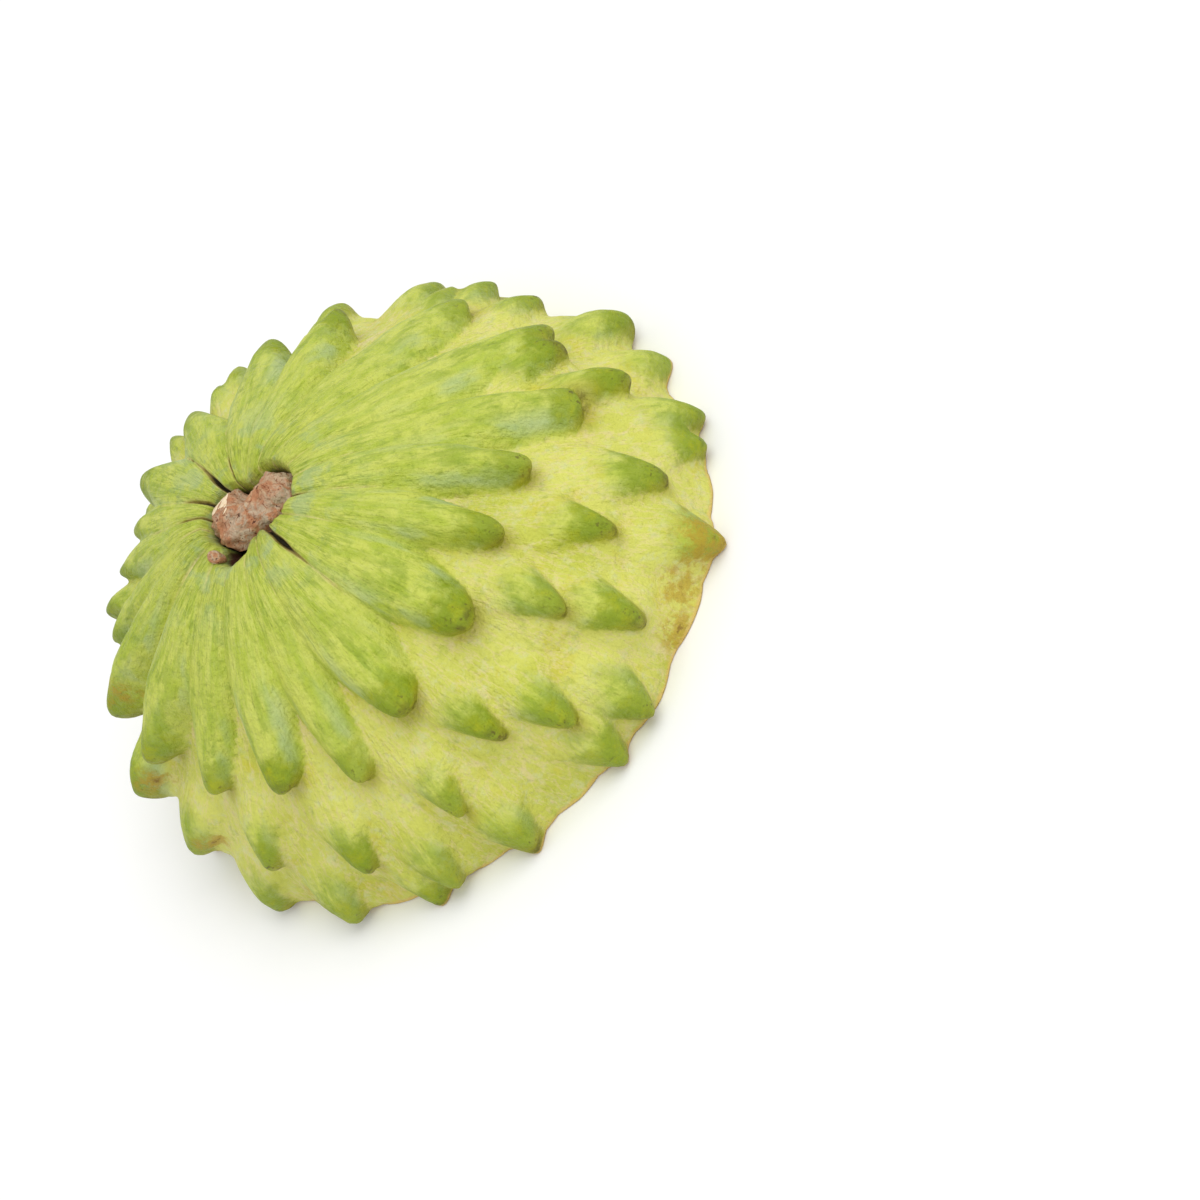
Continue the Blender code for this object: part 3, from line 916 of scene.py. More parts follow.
# %% [markdown]
# ## The green skin
#
# The real skin is a bright yellow green between the lobes and greener on them, with fine
# streaks along each petal and a grey bloom as on a plum. Each of these is one glaze over
# the last. The streaks read the flow place, so they run from the stem to each tip. A
# picture could be laid over the skin instead, but it would smear on the steep lobes.

# %% Colours of the body and the lobes
BODY_PALE = colour(212, 213, 104)
BODY_GREEN = colour(192, 197, 72)
BODY_YELLOW = colour(206, 194, 56)
BODY_GREY = colour(208, 210, 148)
SHIELD_EDGE = colour(224, 208, 146)
PETAL_PALE = colour(195, 204, 88)
PETAL_GREEN = colour(167, 186, 54)
DEEP_GREEN = colour(124, 150, 28)
STREAK_PALE = colour(206, 211, 130)
BLOOM = colour(170, 190, 140)


def stretched(tree, place, times_along):
    """A flow place on which noise makes shorter streaks, or patches."""
    node = tree.nodes.new("ShaderNodeVectorMath")
    node.operation = "MULTIPLY"
    node.inputs[1].default_value = (1, 1, times_along)
    tree.links.new(place, node.inputs[0])
    return node.outputs["Vector"]


def body_colours(tree, place, flow):
    """The skin between the lobes: yellow green, with yellow and greyish patches."""
    wide = cloud(tree, place, 16 * MM, 3.0)
    blotch = cloud(tree, place, 4.5 * MM, 4.0, 0.6)
    mottle = cloud(tree, place, 2.0 * MM, 5.0, 0.7)
    body = glaze(tree, BODY_GREEN, BODY_PALE, fade(tree, wide, 0.3, 0.62))
    body = glaze(tree, body, BODY_YELLOW, times(tree, fade(tree, blotch, 0.52, 0.7), 0.5))
    body = glaze(tree, body, BODY_GREY, times(tree, fade(tree, mottle, 0.48, 0.7), 0.75))
    veins = cloud(tree, stretched(tree, flow, 2.2), 1.8, 4.0, 0.6)
    veins = count(tree, "ABSOLUTE", count(tree, "SUBTRACT", veins, 0.5))
    body = glaze(tree, body, SHIELD_EDGE, times(tree, fade(tree, veins, 0.045, 0.0), 0.5))
    olive = cloud(tree, place, 3.0 * MM, 5.0, 0.7)
    body = glaze(tree, body, DEEP_GREEN, times(tree, fade(tree, olive, 0.54, 0.72), 0.3))
    edge = times(tree, fade(tree, fact(tree, "gap"), 0.14, 0.02), fade(tree, mottle, 0.4, 0.6))
    return glaze(tree, body, SHIELD_EDGE, times(tree, edge, 0.7))


def lobe_colours(tree, place, flow, near_stem):
    """The skin on the lobes: greener, in patches that run along each lobe."""
    patches = cloud(tree, stretched(tree, flow, 3.5), 3.4, 4.0, 0.62)
    streaks = cloud(tree, stretched(tree, flow, 3.0), 1.1, 5.0, 0.7)
    broken = fade(tree, cloud(tree, place, 5.0 * MM, 3.0), 0.42, 0.56)
    mottle = cloud(tree, place, 1.5 * MM, 5.0, 0.7)
    lobe = glaze(tree, PETAL_PALE, PETAL_GREEN, fade(tree, patches, 0.4, 0.64))
    toned = count(tree, "MULTIPLY_ADD", fact(tree, "tone"), 0.2, 0.42)
    lobe = glaze(tree, lobe, DEEP_GREEN, times(tree, toned, fade(tree, mottle, 0.48, 0.68)))
    dark = times(tree, fade(tree, streaks, 0.5, 0.6), near_stem, broken, 0.75)
    lobe = glaze(tree, lobe, DEEP_GREEN, dark)
    pale = times(tree, fade(tree, streaks, 0.46, 0.36), near_stem, 0.4)
    return glaze(tree, lobe, STREAK_PALE, pale)


def skin_colours(tree, place, flow):
    """The glazes of the skin, from the lowest to the highest."""
    height = fact(tree, "height")
    petal = fact(tree, "petal")
    near_stem = fade(tree, fact(tree, "down"), 0.75, 0.25)
    on_lobe = count(tree, "MAXIMUM", petal, fade(tree, height, 0.3, 0.75))
    body = body_colours(tree, place, flow)
    lobe = lobe_colours(tree, place, flow, near_stem)
    skin = glaze(tree, body, lobe, times(tree, on_lobe, 0.85))
    crest = fade(tree, fact(tree, "flank"), 0.95, 0.3)
    rubbed = cloud(tree, stretched(tree, flow, 3.0), 2.6, 4.0, 0.65)
    green = times(tree, crest, fade(tree, rubbed, 0.44, 0.62), fade(tree, height, 0.25, 0.7))
    skin = glaze(tree, skin, DEEP_GREEN, times(tree, green, 0.55))
    soft = cloud(tree, stretched(tree, flow, 3.0), 5.0, 3.0, 0.6)
    bloom = times(tree, fade(tree, fact(tree, "flank"), 0.2, 0.8), fade(tree, soft, 0.42, 0.6))
    bloom = times(tree, bloom, on_lobe, fade(tree, height, 0.1, 0.5), 0.75)
    skin = glaze(tree, skin, BLOOM, bloom)
    at_root = fade(tree, fact(tree, "down"), 0.5, 0.15)
    worn = fade(tree, cloud(tree, place, 6.0 * MM, 4.0, 0.6), 0.5, 0.62)
    return glaze(tree, skin, BLOOM, times(tree, at_root, worn, 0.6))


print("the petals are painted from", [round(v, 2) for v in PETAL_PALE[:3]])

# %% [markdown]
# ## The marks on the skin
#
# The lobes end in deeper green with dark specks, and some ends are dry and brown. Just past each
# tip the skin is painted olive and brown as shade, where the tip hangs over. The slits are brown
# with a pale edge, and are painted near black as shade at their deepest. Bruises are ochre with
# a brown middle, the seat of the stem and the hollow beside it are painted dark as shade, and
# the cut has left a pale line along the rim. Nearly every mark reads a fact that the mesh keeps,
# and a mottled noise breaks up its edge, because a clean edge would look printed.

# %% Marks, and the whole finish of the skin
TIP_GREEN = colour(130, 150, 16)
TIP_YELLOW = colour(172, 176, 14)
TIP_BROWN = colour(92, 84, 22)
SHADE_OLIVE = colour(160, 148, 40)
SLIT_BROWN = colour(126, 96, 40)
SLIT_DEEP_SHADE = colour(34, 26, 12)
SLIT_EDGE = colour(222, 212, 140)
SEAT_SHADE_DARK = colour(58, 30, 14)
BRUISE_OCHRE = colour(182, 150, 40)
BRUISE_DARK = colour(112, 70, 18)
CUT_LINE = colour(222, 186, 108)


def skin_marks(tree, skin, place, mottle):
    """Tips, painted shade under the tips, slits, bruises, painted shade in the stem's seat, and
    the line of the cut.
    """
    tip = fact(tree, "tip")
    patchy = count(tree, "MULTIPLY_ADD", mottle, 0.9, -0.45)
    tip_share = fade(tree, count(tree, "ADD", tip, patchy), 0.35, 0.85)
    toned = count(tree, "MULTIPLY_ADD", fact(tree, "tip_tone"), 0.28, 0.7)
    skin = glaze(tree, skin, TIP_GREEN, times(tree, tip_share, toned))
    specks = fade(tree, cloud(tree, place, 0.9 * MM, 2.0), 0.6, 0.68)
    near_end = fade(tree, tip, 0.75, 0.98)
    glow = fade(tree, cloud(tree, place, 2.8 * MM, 4.0, 0.6), 0.46, 0.72)
    skin = glaze(tree, skin, TIP_YELLOW, times(tree, glow, tip_share, 0.6))
    skin = glaze(tree, skin, TIP_BROWN, times(tree, specks, near_end, 0.75))
    # Painted shade: olive over the band just past each tip.
    skin = glaze(tree, skin, SHADE_OLIVE, times(tree, fact(tree, "under"), 0.65))
    ends = times(tree, fade(tree, tip, 0.88, 1.0), fact(tree, "tip_tone"), 0.7)
    skin = glaze(tree, skin, TIP_BROWN, times(tree, ends, fade(tree, mottle, 0.4, 0.58)))
    # Painted shade: darker brown in the middle of the band under each tip.
    darkest_under_tip = times(tree, fade(tree, fact(tree, "under"), 0.72, 0.98), fade(tree, mottle, 0.4, 0.6))
    skin = glaze(tree, skin, TIP_BROWN, times(tree, darkest_under_tip, 0.6))
    slit = fact(tree, "slit")
    edge = times(tree, fade(tree, slit, 0.02, 0.12), fade(tree, mottle, 0.35, 0.6), 0.6)
    skin = glaze(tree, skin, SLIT_EDGE, edge)
    skin = glaze(tree, skin, SLIT_BROWN, times(tree, fade(tree, slit, 0.12, 0.35), 0.75))
    # Painted shade, near black, at the deepest middle of each slit. The brown before it is the
    # torn skin's own colour.
    skin = glaze(tree, skin, SLIT_DEEP_SHADE, times(tree, fade(tree, slit, 0.35, 0.7), 0.95))
    patchy = count(tree, "MULTIPLY_ADD", fade(tree, mottle, 0.36, 0.64), 0.75, 0.3)
    bruise = count(tree, "MULTIPLY", fact(tree, "bruise"), patchy)
    skin = glaze(tree, skin, BRUISE_OCHRE, times(tree, fade(tree, bruise, 0.12, 0.7), 0.75))
    skin = glaze(tree, skin, BRUISE_DARK, times(tree, fade(tree, bruise, 0.84, 1.08), 0.7))
    # Painted shade in the seat of the stem and in the hollow beside it.
    skin = glaze(tree, skin, SEAT_SHADE_DARK, fade(tree, fact(tree, "seat"), 0.3, 0.75))
    split = tree.nodes.new("ShaderNodeSeparateXYZ")
    tree.links.new(place, split.inputs["Vector"])
    ragged = count(tree, "MULTIPLY_ADD", mottle, 1.6 * MM, -0.8 * MM)
    near_cut = count(tree, "ADD", split.outputs["Z"], ragged)
    cut_line = fade(tree, near_cut, 0.8 * MM, 0.1 * MM)
    return glaze(tree, skin, CUT_LINE, times(tree, cut_line, 0.75))


green_skin, tree, shader = new_finish("custard_apple_skin", 0.5, 0.3)
place = object_place(tree)
flow = fact(tree, "flow", "Vector")
mottle = cloud(tree, place, 2.2 * MM, 5.0, 0.7)
skin_colour = skin_marks(tree, skin_colours(tree, place, flow), place, mottle)
tree.links.new(skin_colour, shader.inputs["Base Color"])
ridges = cloud(tree, stretched(tree, flow, 2.0), 0.8, 3.0)
wrinkles = cloud(tree, place, 1.1 * MM, 4.0, 0.6)
relief = count(tree, "ADD", wrinkles, times(tree, ridges, 0.6))
bumps(tree, shader, relief, 0.6 * MM)
gloss = fade(tree, mottle, 0.2, 0.8)
gloss = count(tree, "MULTIPLY_ADD", gloss, 0.2, 0.42)
tree.links.new(gloss, shader.inputs["Roughness"])
skin_mesh.materials.append(green_skin)
print("skin finish of", len(tree.nodes), "nodes")

# %% [markdown]
# ## The cut edge and the flesh
#
# Cut through, the skin is a thin line that has turned orange in the air, with white flesh
# straight behind it. The flesh is soft and moist, and its parts run out from a pink pith
# in the middle, so it has faint lines like spokes. Two finishes share these colours. The
# first reads how far inside the skin a point is, and the second how far out from the pith.

# %% Finish the cut edge and the flesh
FLESH = colour(246, 240, 230)
FLESH_WARM = colour(244, 224, 206)
PITH = colour(236, 186, 160)
SPOKE = colour(228, 214, 196)
EDGE_ORANGE = colour(226, 158, 78)
EDGE_YELLOW = colour(206, 190, 84)
POCKET_TAN = colour(196, 160, 122)

cut_edge, tree, shader = new_finish("custard_apple_cut_edge", 0.45)
place = object_place(tree)
inside = count(
    tree, "ADD", fact(tree, "inside"), times(tree, cloud(tree, place, 2 * MM), 0.08)
)
edge = glaze(tree, EDGE_YELLOW, EDGE_ORANGE, fade(tree, inside, 0.04, 0.12))
edge = glaze(tree, edge, FLESH_WARM, fade(tree, inside, 0.14, 0.4))
edge = glaze(tree, edge, FLESH, fade(tree, inside, 0.4, 0.9))
tree.links.new(edge, shader.inputs["Base Color"])
bumps(tree, shader, cloud(tree, place, 0.8 * MM), 0.2 * MM)
skin_mesh.materials.append(cut_edge)

white_flesh, tree, shader = new_finish("custard_apple_flesh", 0.38)
place = object_place(tree)
spokes = fact(tree, "spokes", "Vector")
out = fact(tree, "out")
flesh = glaze(tree, FLESH, FLESH_WARM, fade(tree, cloud(tree, place, 9 * MM), 0.4, 0.7))
flesh = glaze(tree, flesh, FLESH_WARM, fade(tree, out, 0.93, 1.0))
lines = fade(tree, cloud(tree, spokes, 0.9, 3.0), 0.56, 0.72)
flesh = glaze(tree, flesh, SPOKE, times(tree, lines, 0.5))
core = count(tree, "ADD", out, times(tree, cloud(tree, spokes, 1.6, 3.0), 0.22))
flesh = glaze(tree, flesh, PITH, times(tree, fade(tree, core, 0.34, 0.2), 0.8))
flesh = glaze(tree, flesh, POCKET_TAN, times(tree, fact(tree, "pocket"), 0.75))
tree.links.new(flesh, shader.inputs["Base Color"])
bumps(tree, shader, cloud(tree, spokes, 0.5, 3.0), 0.25 * MM)
print("flesh finish of", len(tree.nodes), "nodes")

# %% [markdown]
# ## The flesh
#
# The flesh is a dome that fills the skin, and its flat side is the cut face. A circle is
# extruded inwards ring by ring to the middle of the cut face, and upwards ring by ring
# inside the skin's own wall, so the whole is closed. The many rings on the cut face give
# the points that the pockets need.

# %% Shape the flesh
FLESH_GAP = 0.04 * MM
FACE_STEPS = 384
FACE_RINGS = 120


def fill_flesh(maker):
    """The flesh as a closed shell: the cut face below and the dome above."""
    bmesh.ops.create_circle(maker, segments=FACE_STEPS, radius=1.0)
    edge = maker.edges[:]
    depth = SKIN_DEPTH + FLESH_GAP
    for vertex in maker.verts:
        turn = math.atan2(vertex.co.y, vertex.co.x)
        vertex.co = sunk_point(turn, math.pi / 2, depth)
        vertex.co.z = 0
    rim = edge
    for ring in range(1, FACE_RINGS + 1):
        rim, points = new_rim(maker, rim)
        share = (FACE_RINGS - ring) / (FACE_RINGS - ring + 1)
        for vertex in points:
            vertex.co = vertex.co * share
    bmesh.ops.remove_doubles(maker, verts=points, dist=1e-6)
    raise_wall(maker, edge, depth)
    bmesh.ops.recalc_face_normals(maker, faces=maker.faces)


maker = bmesh.new()
fill_flesh(maker)
open_edges = count_open(maker)
flesh_mesh = made_mesh(maker, "flesh")
print("flesh of", len(flesh_mesh.polygons), "faces;", open_edges, "open edges")

# %% [markdown]
# ## Where the seeds lie
#
# Eight seeds grew in a ring round the pith, each a little off its place and turned its own
# way. Two of their pockets are empty, because the knife pulled the seeds out. The seeds
# and the pockets come from one list, so each seed fits its pocket: the side towards the
# cut shows, and the other side is buried in the flesh.

# %% Places, outlines and pockets
SEED_LENGTH = 17.5 * MM
SEED_WIDTH = 9.4 * MM
SEED_THICKNESS = 6.0 * MM
SEED_PLACES = 8
SEED_RING_RADIUS = 20 * MM
SEED_RECESS = 0.5 * MM
EMPTY_POCKETS = (2, 6)
SEED_JITTER_ROUND = 0.12
SEED_JITTER_TURN = 0.35
SEED_SPREAD_OUT = (0.9, 1.12)
SEED_SIZES = (0.92, 1.04)
SEED_DRAW = 12
SEED_TAPER = 0.22
SEED_ENDS = 0.12
POCKET_DEPTH = 3.9 * MM
EMPTY_DEPTH = 3.0 * MM
POCKET_EDGE = 0.94
POCKET_WALL = 0.2
EMPTY_OUTLINE = 1.02


def seed_places():
    """The middle of each seed, its turn in the plane of the cut, and its size."""
    draw = random.Random(SEED_DRAW)
    places = []
    for number in range(SEED_PLACES):
        around = number * math.tau / SEED_PLACES
        around += draw.uniform(-SEED_JITTER_ROUND, SEED_JITTER_ROUND)
        out = SEED_RING_RADIUS * draw.uniform(*SEED_SPREAD_OUT)
        size = draw.uniform(*SEED_SIZES)
        turn = around + draw.uniform(-SEED_JITTER_TURN, SEED_JITTER_TURN)
        lift = SEED_RECESS + SEED_THICKNESS * size / 2
        middle = Vector((out * math.cos(around), out * math.sin(around), lift))
        places.append((middle, turn, size))
    return places


def seed_outline(point, middle, turn, size):
    """How far out of a seed's outline a point of the cut face is: 1 is on it."""
    x = point[:, 0] - middle.x
    y = point[:, 1] - middle.y
    along = (x * math.cos(turn) + y * math.sin(turn)) / (SEED_LENGTH * size / 2)
    aside = (y * math.cos(turn) - x * math.sin(turn)) / (SEED_WIDTH * size / 2)
    taper = 1 - SEED_TAPER * along - SEED_ENDS * along**2
    return np.hypot(along, aside / np.clip(taper, 0.3, None))


def pockets(point):
    """How deep the cut face is sunk at each point, and how much of that is empty."""
    sunk = np.zeros(len(point))
    empty = np.zeros(len(point))
    for number, (middle, turn, size) in enumerate(seed_places()):
        out = seed_outline(point, middle, turn, size)
        if number in EMPTY_POCKETS:
            bowl = np.sqrt(np.clip(1 - (out / EMPTY_OUTLINE) ** 2, 0, 1))
            empty = np.maximum(empty, ease(bowl * 2))
            sunk = np.maximum(sunk, EMPTY_DEPTH * bowl)
        else:
            sunk = np.maximum(sunk, POCKET_DEPTH * (1 - ease((out - POCKET_EDGE) / POCKET_WALL)))
    return sunk, empty


print(len(seed_places()), "pockets,", len(EMPTY_POCKETS), "of them empty")

# %% [markdown]
# ## Sink the pockets
#
# The cut face is not quite flat either: the parts of the flesh shrink a little from each
# other, so shallow spokes run out from the pith. The depth is worked out for all points
# in one go with arrays, and the same arrays give the finish its facts. The walls of the
# pockets are steep, so they are softened as the ends of the lobes were.

# %% Sink the pockets and keep the facts
SPOKES_ROUND = 6
SPOKE_STRETCH = 0.12
SPOKE_DEPTH = 0.25 * MM
SPOKE_SIZE = 1.2
LEAST_SUNK = 0.05 * MM

face_point = np.zeros(len(flesh_mesh.vertices) * 3)
flesh_mesh.vertices.foreach_get("co", face_point)
face_point = face_point.reshape(-1, 3)
around = np.arctan2(face_point[:, 1], face_point[:, 0])
radius = np.hypot(face_point[:, 0], face_point[:, 1])
edge_point = body_point(around, np.full_like(around, math.pi / 2))
edge_radius = np.hypot(edge_point[:, 0], edge_point[:, 1]) - SKIN_DEPTH
out = radius / edge_radius
across = [SPOKES_ROUND * np.cos(around), SPOKES_ROUND * np.sin(around)]
spoke_place = np.stack([*across, radius / MM * SPOKE_STRETCH], axis=-1)
on_face = face_point[:, 2] < 1e-7
sunk, empty = pockets(face_point)
uneven = SPOKE_DEPTH * (1 + lumps(spoke_place, SPOKE_SIZE, 4.0)) * np.clip(1.2 - out, 0, 1)
uneven *= ease((1 - out) / 0.1)
face_point[on_face, 2] += (sunk + uneven)[on_face]
flesh_mesh.vertices.foreach_set("co", face_point.ravel())
in_pocket = on_face & (sunk > LEAST_SUNK)
print("softened", soften(flesh_mesh, in_pocket), "points of the pockets")
keep_number(flesh_mesh, "out", out)
keep_number(flesh_mesh, "pocket", empty)
keep_vector(flesh_mesh, "spokes", spoke_place)
flesh_mesh.materials.append(white_flesh)
flesh_mesh.shade_smooth()
flesh_piece = add_to_scene("flesh_and_pith", flesh_mesh)
print("pockets sink up to", round(float(sunk.max()) * 1000, 1), "mm")

# %% [markdown]
# ## The seeds
#
# A custard apple seed is a flat bean with a hard coat, black and shiny as glass, with
# brown streaks where the coat is worn. It starts as a ball, is drawn out and tapered to
# one blunt point, and gets a low seam round its edge. The coat is a second, clear layer
# over the black, which gives the sharp highlights.

# %% Finish and shape the seeds
SEAM_HEIGHT = 0.03
SEAM_WIDTH = 0.12
SEED_LUMP_SIZE = 4 * MM
SEED_LUMP_HEIGHT = 0.18 * MM

seed_coat, tree, shader = new_finish("custard_apple_seed", 0.3)
place = object_place(tree)
worn = times(
    tree,
    fade(tree, cloud(tree, place, 5 * MM, 3.0), 0.5, 0.62),
    fade(tree, cloud(tree, place, 1.1 * MM, 4.0, 0.7), 0.45, 0.6),
)
coat = glaze(tree, colour(16, 13, 12), colour(94, 60, 40), times(tree, worn, 0.75))
tree.links.new(coat, shader.inputs["Base Color"])
dull = count(tree, "MULTIPLY_ADD", worn, 0.3, 0.22)
tree.links.new(dull, shader.inputs["Roughness"])
shader.inputs["Coat Weight"].default_value = 0.4
shader.inputs["Coat Roughness"].default_value = 0.12
bumps(tree, shader, cloud(tree, place, 1.3 * MM, 3.0), 0.3 * MM)


def seed_form(maker, size):
    """A seed at the middle of the scene, pointing along X."""
    bmesh.ops.create_uvsphere(maker, u_segments=48, v_segments=30, radius=1.0)
    lying = Matrix.Rotation(math.pi / 2, 3, "Y")
    bmesh.ops.rotate(maker, verts=maker.verts, matrix=lying)
    for vertex in maker.verts:
        along, aside, up = vertex.co
        taper = 1 - SEED_TAPER * along - SEED_ENDS * along**2
        seam = SEAM_HEIGHT * math.exp(-((up / SEAM_WIDTH) ** 2))
        vertex.co = (
            SEED_LENGTH * size / 2 * along,
            SEED_WIDTH * size / 2 * aside * taper * (1 + seam),
            SEED_THICKNESS * size / 2 * up * taper,
        )
    bmesh.ops.recalc_face_normals(maker, faces=maker.faces)


seed_pieces = {}
for number, (middle, turn, size) in enumerate(seed_places()):
    if number in EMPTY_POCKETS:
        continue
    maker = bmesh.new()
    seed_form(maker, size)
    for vertex in maker.verts:
        shift = noise.noise_vector(vertex.co / SEED_LUMP_SIZE + Vector((number, 0, 0)))
        vertex.co += SEED_LUMP_HEIGHT * shift
    maker.transform(Matrix.Translation(middle) @ Matrix.Rotation(turn, 4, "Z"))
    node = f"seed_{number + 1}"
    mesh = made_mesh(maker, node)
    mesh.materials.append(seed_coat)
    mesh.shade_smooth()
    seed_pieces[node] = add_to_scene(f"glossy_{node}", mesh)
print("seeds:", sorted(seed_pieces))

# %% [markdown]
# ## The stem
#
# The fruit broke off its branch and left a low woody knob of two halves. Its top is torn
# fibre, reddish brown and full of small pits, and one side is broken off flat, where the
# pale fresh wood shows. A ball is drawn out to the stem's size and pinched at the waist,
# noise roughens it, and a plane cuts the broken side. A ball is chosen because it is
# closed from the start, so only the cut has to be filled. A scrap of torn wood hangs in
# the hollow beside the stem, and is a small ball made uneven in the same way.

# %% Shape the stem
STEM_HEIGHT = 5.0 * MM
STEM_ROOT_DEPTH = 4.5 * MM
STEM_SEAT_LIFT = 0.4 * MM
STEM_BREAK_AT = Vector((3.5, -2.5, 3.05)) * MM
STEM_BREAK_FACES = Vector((0.25, -0.3, 0.92)).normalized()
STEM_ROUGHNESS = 0.05
STEM_NARROWING = 0.45
NOTCH_TOP = 0.5
NOTCH_BOTTOM = 0.1
SCRAP_AT = Vector((-11.0, -0.7, 41.7)) * MM
SCRAP_TURN = math.radians(100)
SCRAP_RADII = (1.2 * MM, 0.9 * MM, 1.5 * MM)
SCRAP_TEAR_SIZE = 1.6 * MM
SCRAP_TEAR_HEIGHT = 0.6 * MM
TEAR_SIZE = 2.6 * MM
TEAR_HEIGHT = 0.75 * MM
TEAR_MIDDLE = 0.6
FIBRE_SIZE = 0.8 * MM
FIBRE_HEIGHT = 0.16 * MM
STEM_MIDDLE_WIDTH = 2.6


def stem_form(maker):
    """The knob of the stem at the middle of the scene, lying along X."""
    bmesh.ops.create_uvsphere(maker, u_segments=128, v_segments=90, radius=1.0)
    for vertex in maker.verts:
        along, aside, up = vertex.co
        around = math.atan2(aside, along)
        notch = NOTCH_TOP if aside < 0 else NOTCH_BOTTOM
        notch += (STEM_WAIST - notch) * (1 - min(1, abs(aside) * 3))
        waist = 1 - notch * math.exp(-((along / STEM_WAIST_WIDTH) ** 2))
        rough = 1 + STEM_ROUGHNESS * math.cos(5 * around + 4 * up) * (1 - up**2)
        narrowing = 1 + STEM_NARROWING * min(up, 0)
        tall = STEM_HEIGHT * waist if up > 0 else STEM_ROOT_DEPTH
        vertex.co = (
            STEM_LENGTH / 2 * along * rough * narrowing,
            STEM_WIDTH / 2 * aside * rough * narrowing * waist,
            tall * up,
        )
    maker.normal_update()
    for vertex in maker.verts:
        torn = noise.turbulence(vertex.co / TEAR_SIZE, 4, False) - TEAR_MIDDLE
        fine = noise.noise(vertex.co / FIBRE_SIZE)
        vertex.co += vertex.normal * (TEAR_HEIGHT * torn + FIBRE_HEIGHT * fine)
    cut = bmesh.ops.bisect_plane(
        maker,
        geom=maker.verts[:] + maker.edges[:] + maker.faces[:],
        plane_co=STEM_BREAK_AT,
        plane_no=STEM_BREAK_FACES,
        clear_outer=True,
    )
    rim = [item for item in cut["geom_cut"] if isinstance(item, bmesh.types.BMEdge)]
    broken = bmesh.ops.holes_fill(maker, edges=rim)["faces"]
    for face in broken:
        face.material_index = 1
    bmesh.ops.triangulate(maker, faces=broken)


def torn_scrap(maker):
    """A scrap of torn wood that hangs at the lower end of the stem."""
    shape = Matrix.Diagonal((*SCRAP_RADII, 1))
    shape = Matrix.Translation(SCRAP_AT) @ Matrix.Rotation(SCRAP_TURN, 4, "Z") @ shape
    made = bmesh.ops.create_icosphere(maker, subdivisions=4, radius=1.0, matrix=shape)
    for vertex in made["verts"]:
        vertex.co += SCRAP_TEAR_HEIGHT * noise.noise_vector(vertex.co / SCRAP_TEAR_SIZE)


maker = bmesh.new()
stem_form(maker)
seat_height = BODY_HEIGHT - STEM_DIP_DEPTH + STEM_SEAT_LIFT
stem_place = Matrix.Translation((STEM_OFFSET + STEM_SHIFT, 0, seat_height))
stem_place = stem_place @ Matrix.Rotation(STEM_TURN, 4, "Z")
local = np.array([vertex.co for vertex in maker.verts]) / MM
maker.transform(stem_place)
stem_points = len(maker.verts)
torn_scrap(maker)
bmesh.ops.recalc_face_normals(maker, faces=maker.faces)
print("open edges of the stem:", count_open(maker))
stem_mesh = made_mesh(maker, "stem")
middle = np.zeros(len(stem_mesh.vertices))
middle[:stem_points] = np.exp(-((local[:, 0] / STEM_MIDDLE_WIDTH) ** 2))
keep_number(stem_mesh, "middle", middle)
stem_mesh.shade_smooth()
stem_piece = add_to_scene("woody_stem", stem_mesh)

# %% [markdown]
# ## Finish the stem
#
# Torn wood is never one brown. Reddish fibre, paler worn places in the middle, and dark
# pits are three glazes of noise. The broken side has a finish of its own, pale with thin
# darker grain.

# %% Two finishes for the stem
STEM_RED = colour(190, 132, 94)
STEM_PALE = colour(206, 168, 128)
STEM_GREY = colour(196, 180, 154)
STEM_DARK = colour(134, 78, 48)
STEM_PIT = colour(72, 36, 22)
WOOD_FRESH = colour(244, 222, 188)
WOOD_GRAIN = colour(212, 172, 124)


def swirl(tree, place, size, twist):
    """Noise drawn into curls, as torn fibre is."""
    curls = cloud(tree, place, size, 4.0, 0.6)
    curls.node.inputs["Distortion"].default_value = twist
    return curls


torn_wood, tree, shader = new_finish("custard_apple_stem", 0.8, 0.25)
place = object_place(tree)
fibre = swirl(tree, place, 2.4 * MM, 2.5)
wood = glaze(tree, STEM_RED, STEM_PALE, fade(tree, fibre, 0.46, 0.66))
middle = times(tree, fact(tree, "middle"), fade(tree, fibre, 0.3, 0.6), 0.85)
wood = glaze(tree, wood, STEM_GREY, middle)
dark = fade(tree, swirl(tree, place, 1.1 * MM, 1.8), 0.46, 0.32)
wood = glaze(tree, wood, STEM_DARK, times(tree, dark, 0.85))
pits = fade(tree, cloud(tree, place, 1.0 * MM, 2.0), 0.33, 0.28)
wood = glaze(tree, wood, STEM_PIT, times(tree, pits, 0.9))
tree.links.new(wood, shader.inputs["Base Color"])
bumps(tree, shader, swirl(tree, place, 0.9 * MM, 2.0), 0.5 * MM)
stem_mesh.materials.append(torn_wood)

fresh_wood, tree, shader = new_finish("custard_apple_stem_broken", 0.7, 0.25)
place = object_place(tree)
grain = fade(tree, cloud(tree, place, 0.6 * MM, 4.0, 0.7), 0.5, 0.66)
wood = glaze(tree, WOOD_FRESH, WOOD_GRAIN, times(tree, grain, 0.7))
tree.links.new(wood, shader.inputs["Base Color"])
bumps(tree, shader, cloud(tree, place, 0.4 * MM, 3.0), 0.3 * MM)
stem_mesh.materials.append(fresh_wood)
print("stem of", len(stem_mesh.polygons), "faces")

# %% [markdown]
# ## Hand the pieces to the part
#
# Each fine piece rides on the part's one body and stands for its solid. The solids stay in the
# file for the physics, but are not shown.

# %% Ride and replace
pairs = [(skin, "rind", "rind_green"), (flesh_piece, "flesh", "flesh_white")]
pairs += [(stem_piece, "stem", "stem_brown")]
pairs += [(piece, node, "seed_black") for node, piece in sorted(seed_pieces.items())]
for piece, node, slot in pairs:
    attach(piece, "root")
    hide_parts(node)
    print(piece.name, "stands for", node)

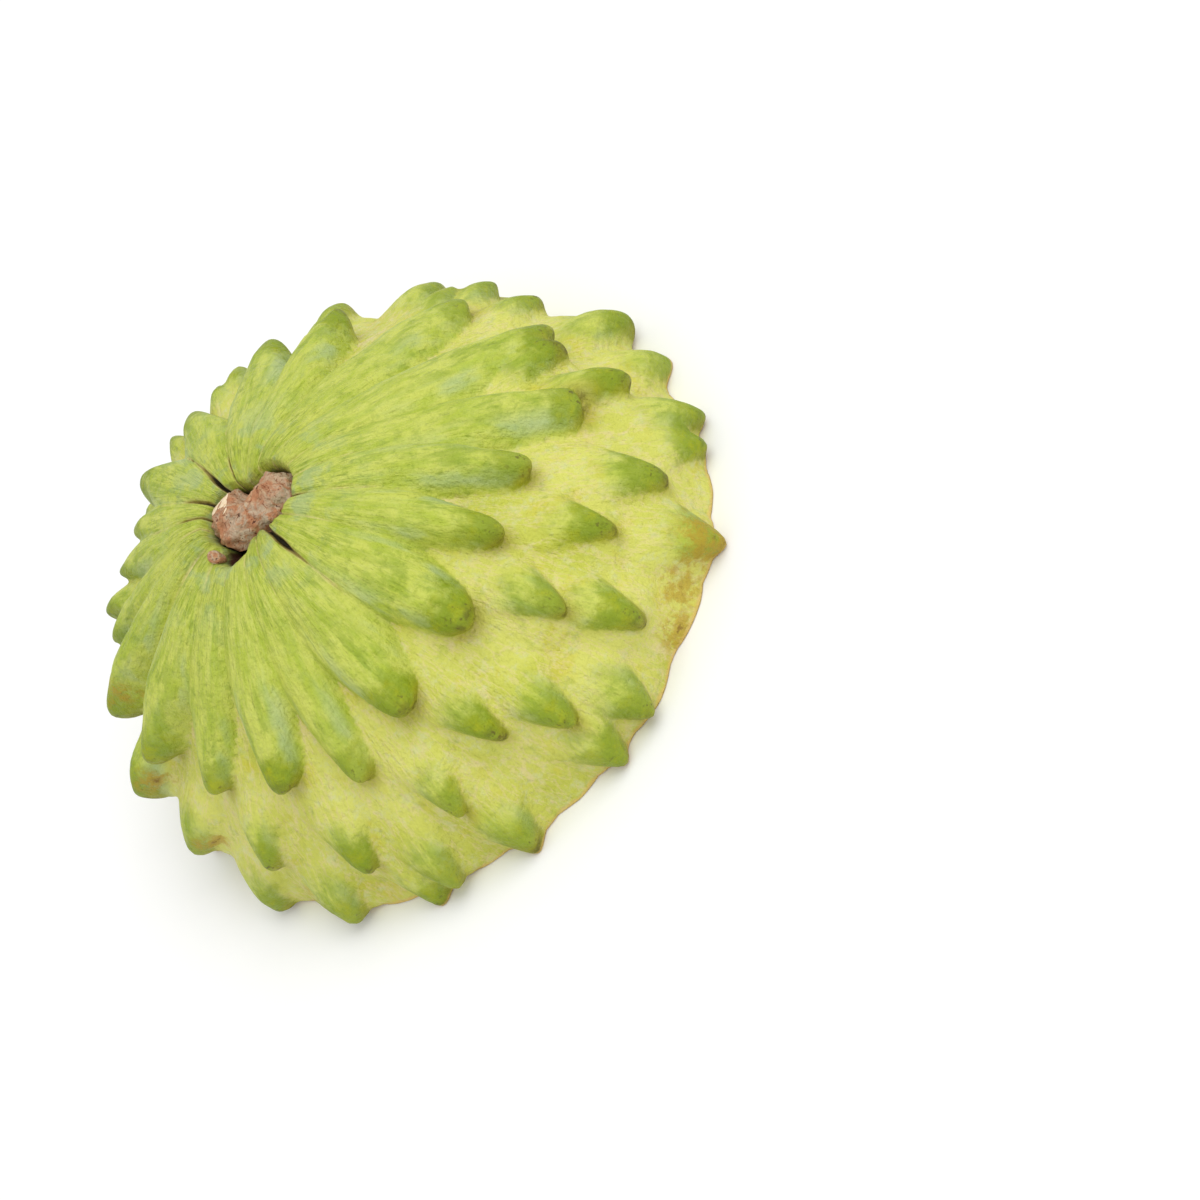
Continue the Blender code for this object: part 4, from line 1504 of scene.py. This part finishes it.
# %% [markdown]
# ## Floor and light
#
# The picture has a white ground with a soft shadow below the fruit, so the floor is
# plain, nearly white, and lit until it is as bright as the paper. The light comes from
# above the camera and a little from the left. A wide soft panel gives it, because a small
# lamp would draw hard shadows, and a white sky fills what is left dark.

# %% Floor, sky and lamps
FLOOR_DROP = 0.15 * MM
FLOOR_HALF_WIDTH = 2.0
PAPER_WHITE = (0.94, 0.94, 0.94, 1.0)
SKY_WHITE = (1.0, 1.0, 1.0, 1.0)
SKY_STRENGTH = 0.78
KEY_POWER = 5.1
KEY_SIZE = 0.8
KEY_DISTANCE = 1.0
KEY_FROM = (picture_up * 0.56 + to_viewer * 0.78 - picture_right * 0.26).normalized()

floor_maker = bmesh.new()
bmesh.ops.create_grid(floor_maker, x_segments=1, y_segments=1, size=FLOOR_HALF_WIDTH)
bmesh.ops.translate(floor_maker, verts=floor_maker.verts, vec=(0, 0, -FLOOR_DROP))
floor_mesh = made_mesh(floor_maker, "floor")
paper, tree, shader = new_finish("white_paper", 0.9, 0.0)
shader.inputs["Base Color"].default_value = PAPER_WHITE
floor_mesh.materials.append(paper)
floor = add_to_scene("floor", floor_mesh)
floor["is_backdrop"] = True

sky = bpy.data.worlds.new("white_sky")
bpy.context.scene.world = sky
sky.use_nodes = True
backdrop = sky.node_tree.nodes["Background"]
backdrop.inputs["Color"].default_value = SKY_WHITE
backdrop.inputs["Strength"].default_value = SKY_STRENGTH

key = add_to_scene("key_light", bpy.data.lights.new("key_light", "AREA"))
key.data.shape = "SQUARE"
key.data.size = KEY_SIZE
key.data.energy = KEY_POWER
key.location = KEY_FROM * KEY_DISTANCE
key.rotation_euler = KEY_FROM.to_track_quat("Z", "Y").to_euler()
bpy.context.scene.view_settings.view_transform = "Standard"
print("key light from", [round(v, 2) for v in KEY_FROM])

# %% [markdown]
# ## Print the sizes
#
# The fine pieces should be as large as the solid model, so both boxes are printed, to be
# compared.

# %% Print the sizes
made_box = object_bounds()
for name, (low, high) in (("solid", cad_box), ("visual", made_box)):
    print(name, [round((b - a) * 1000, 1) for a, b in zip(low, high)], "mm")
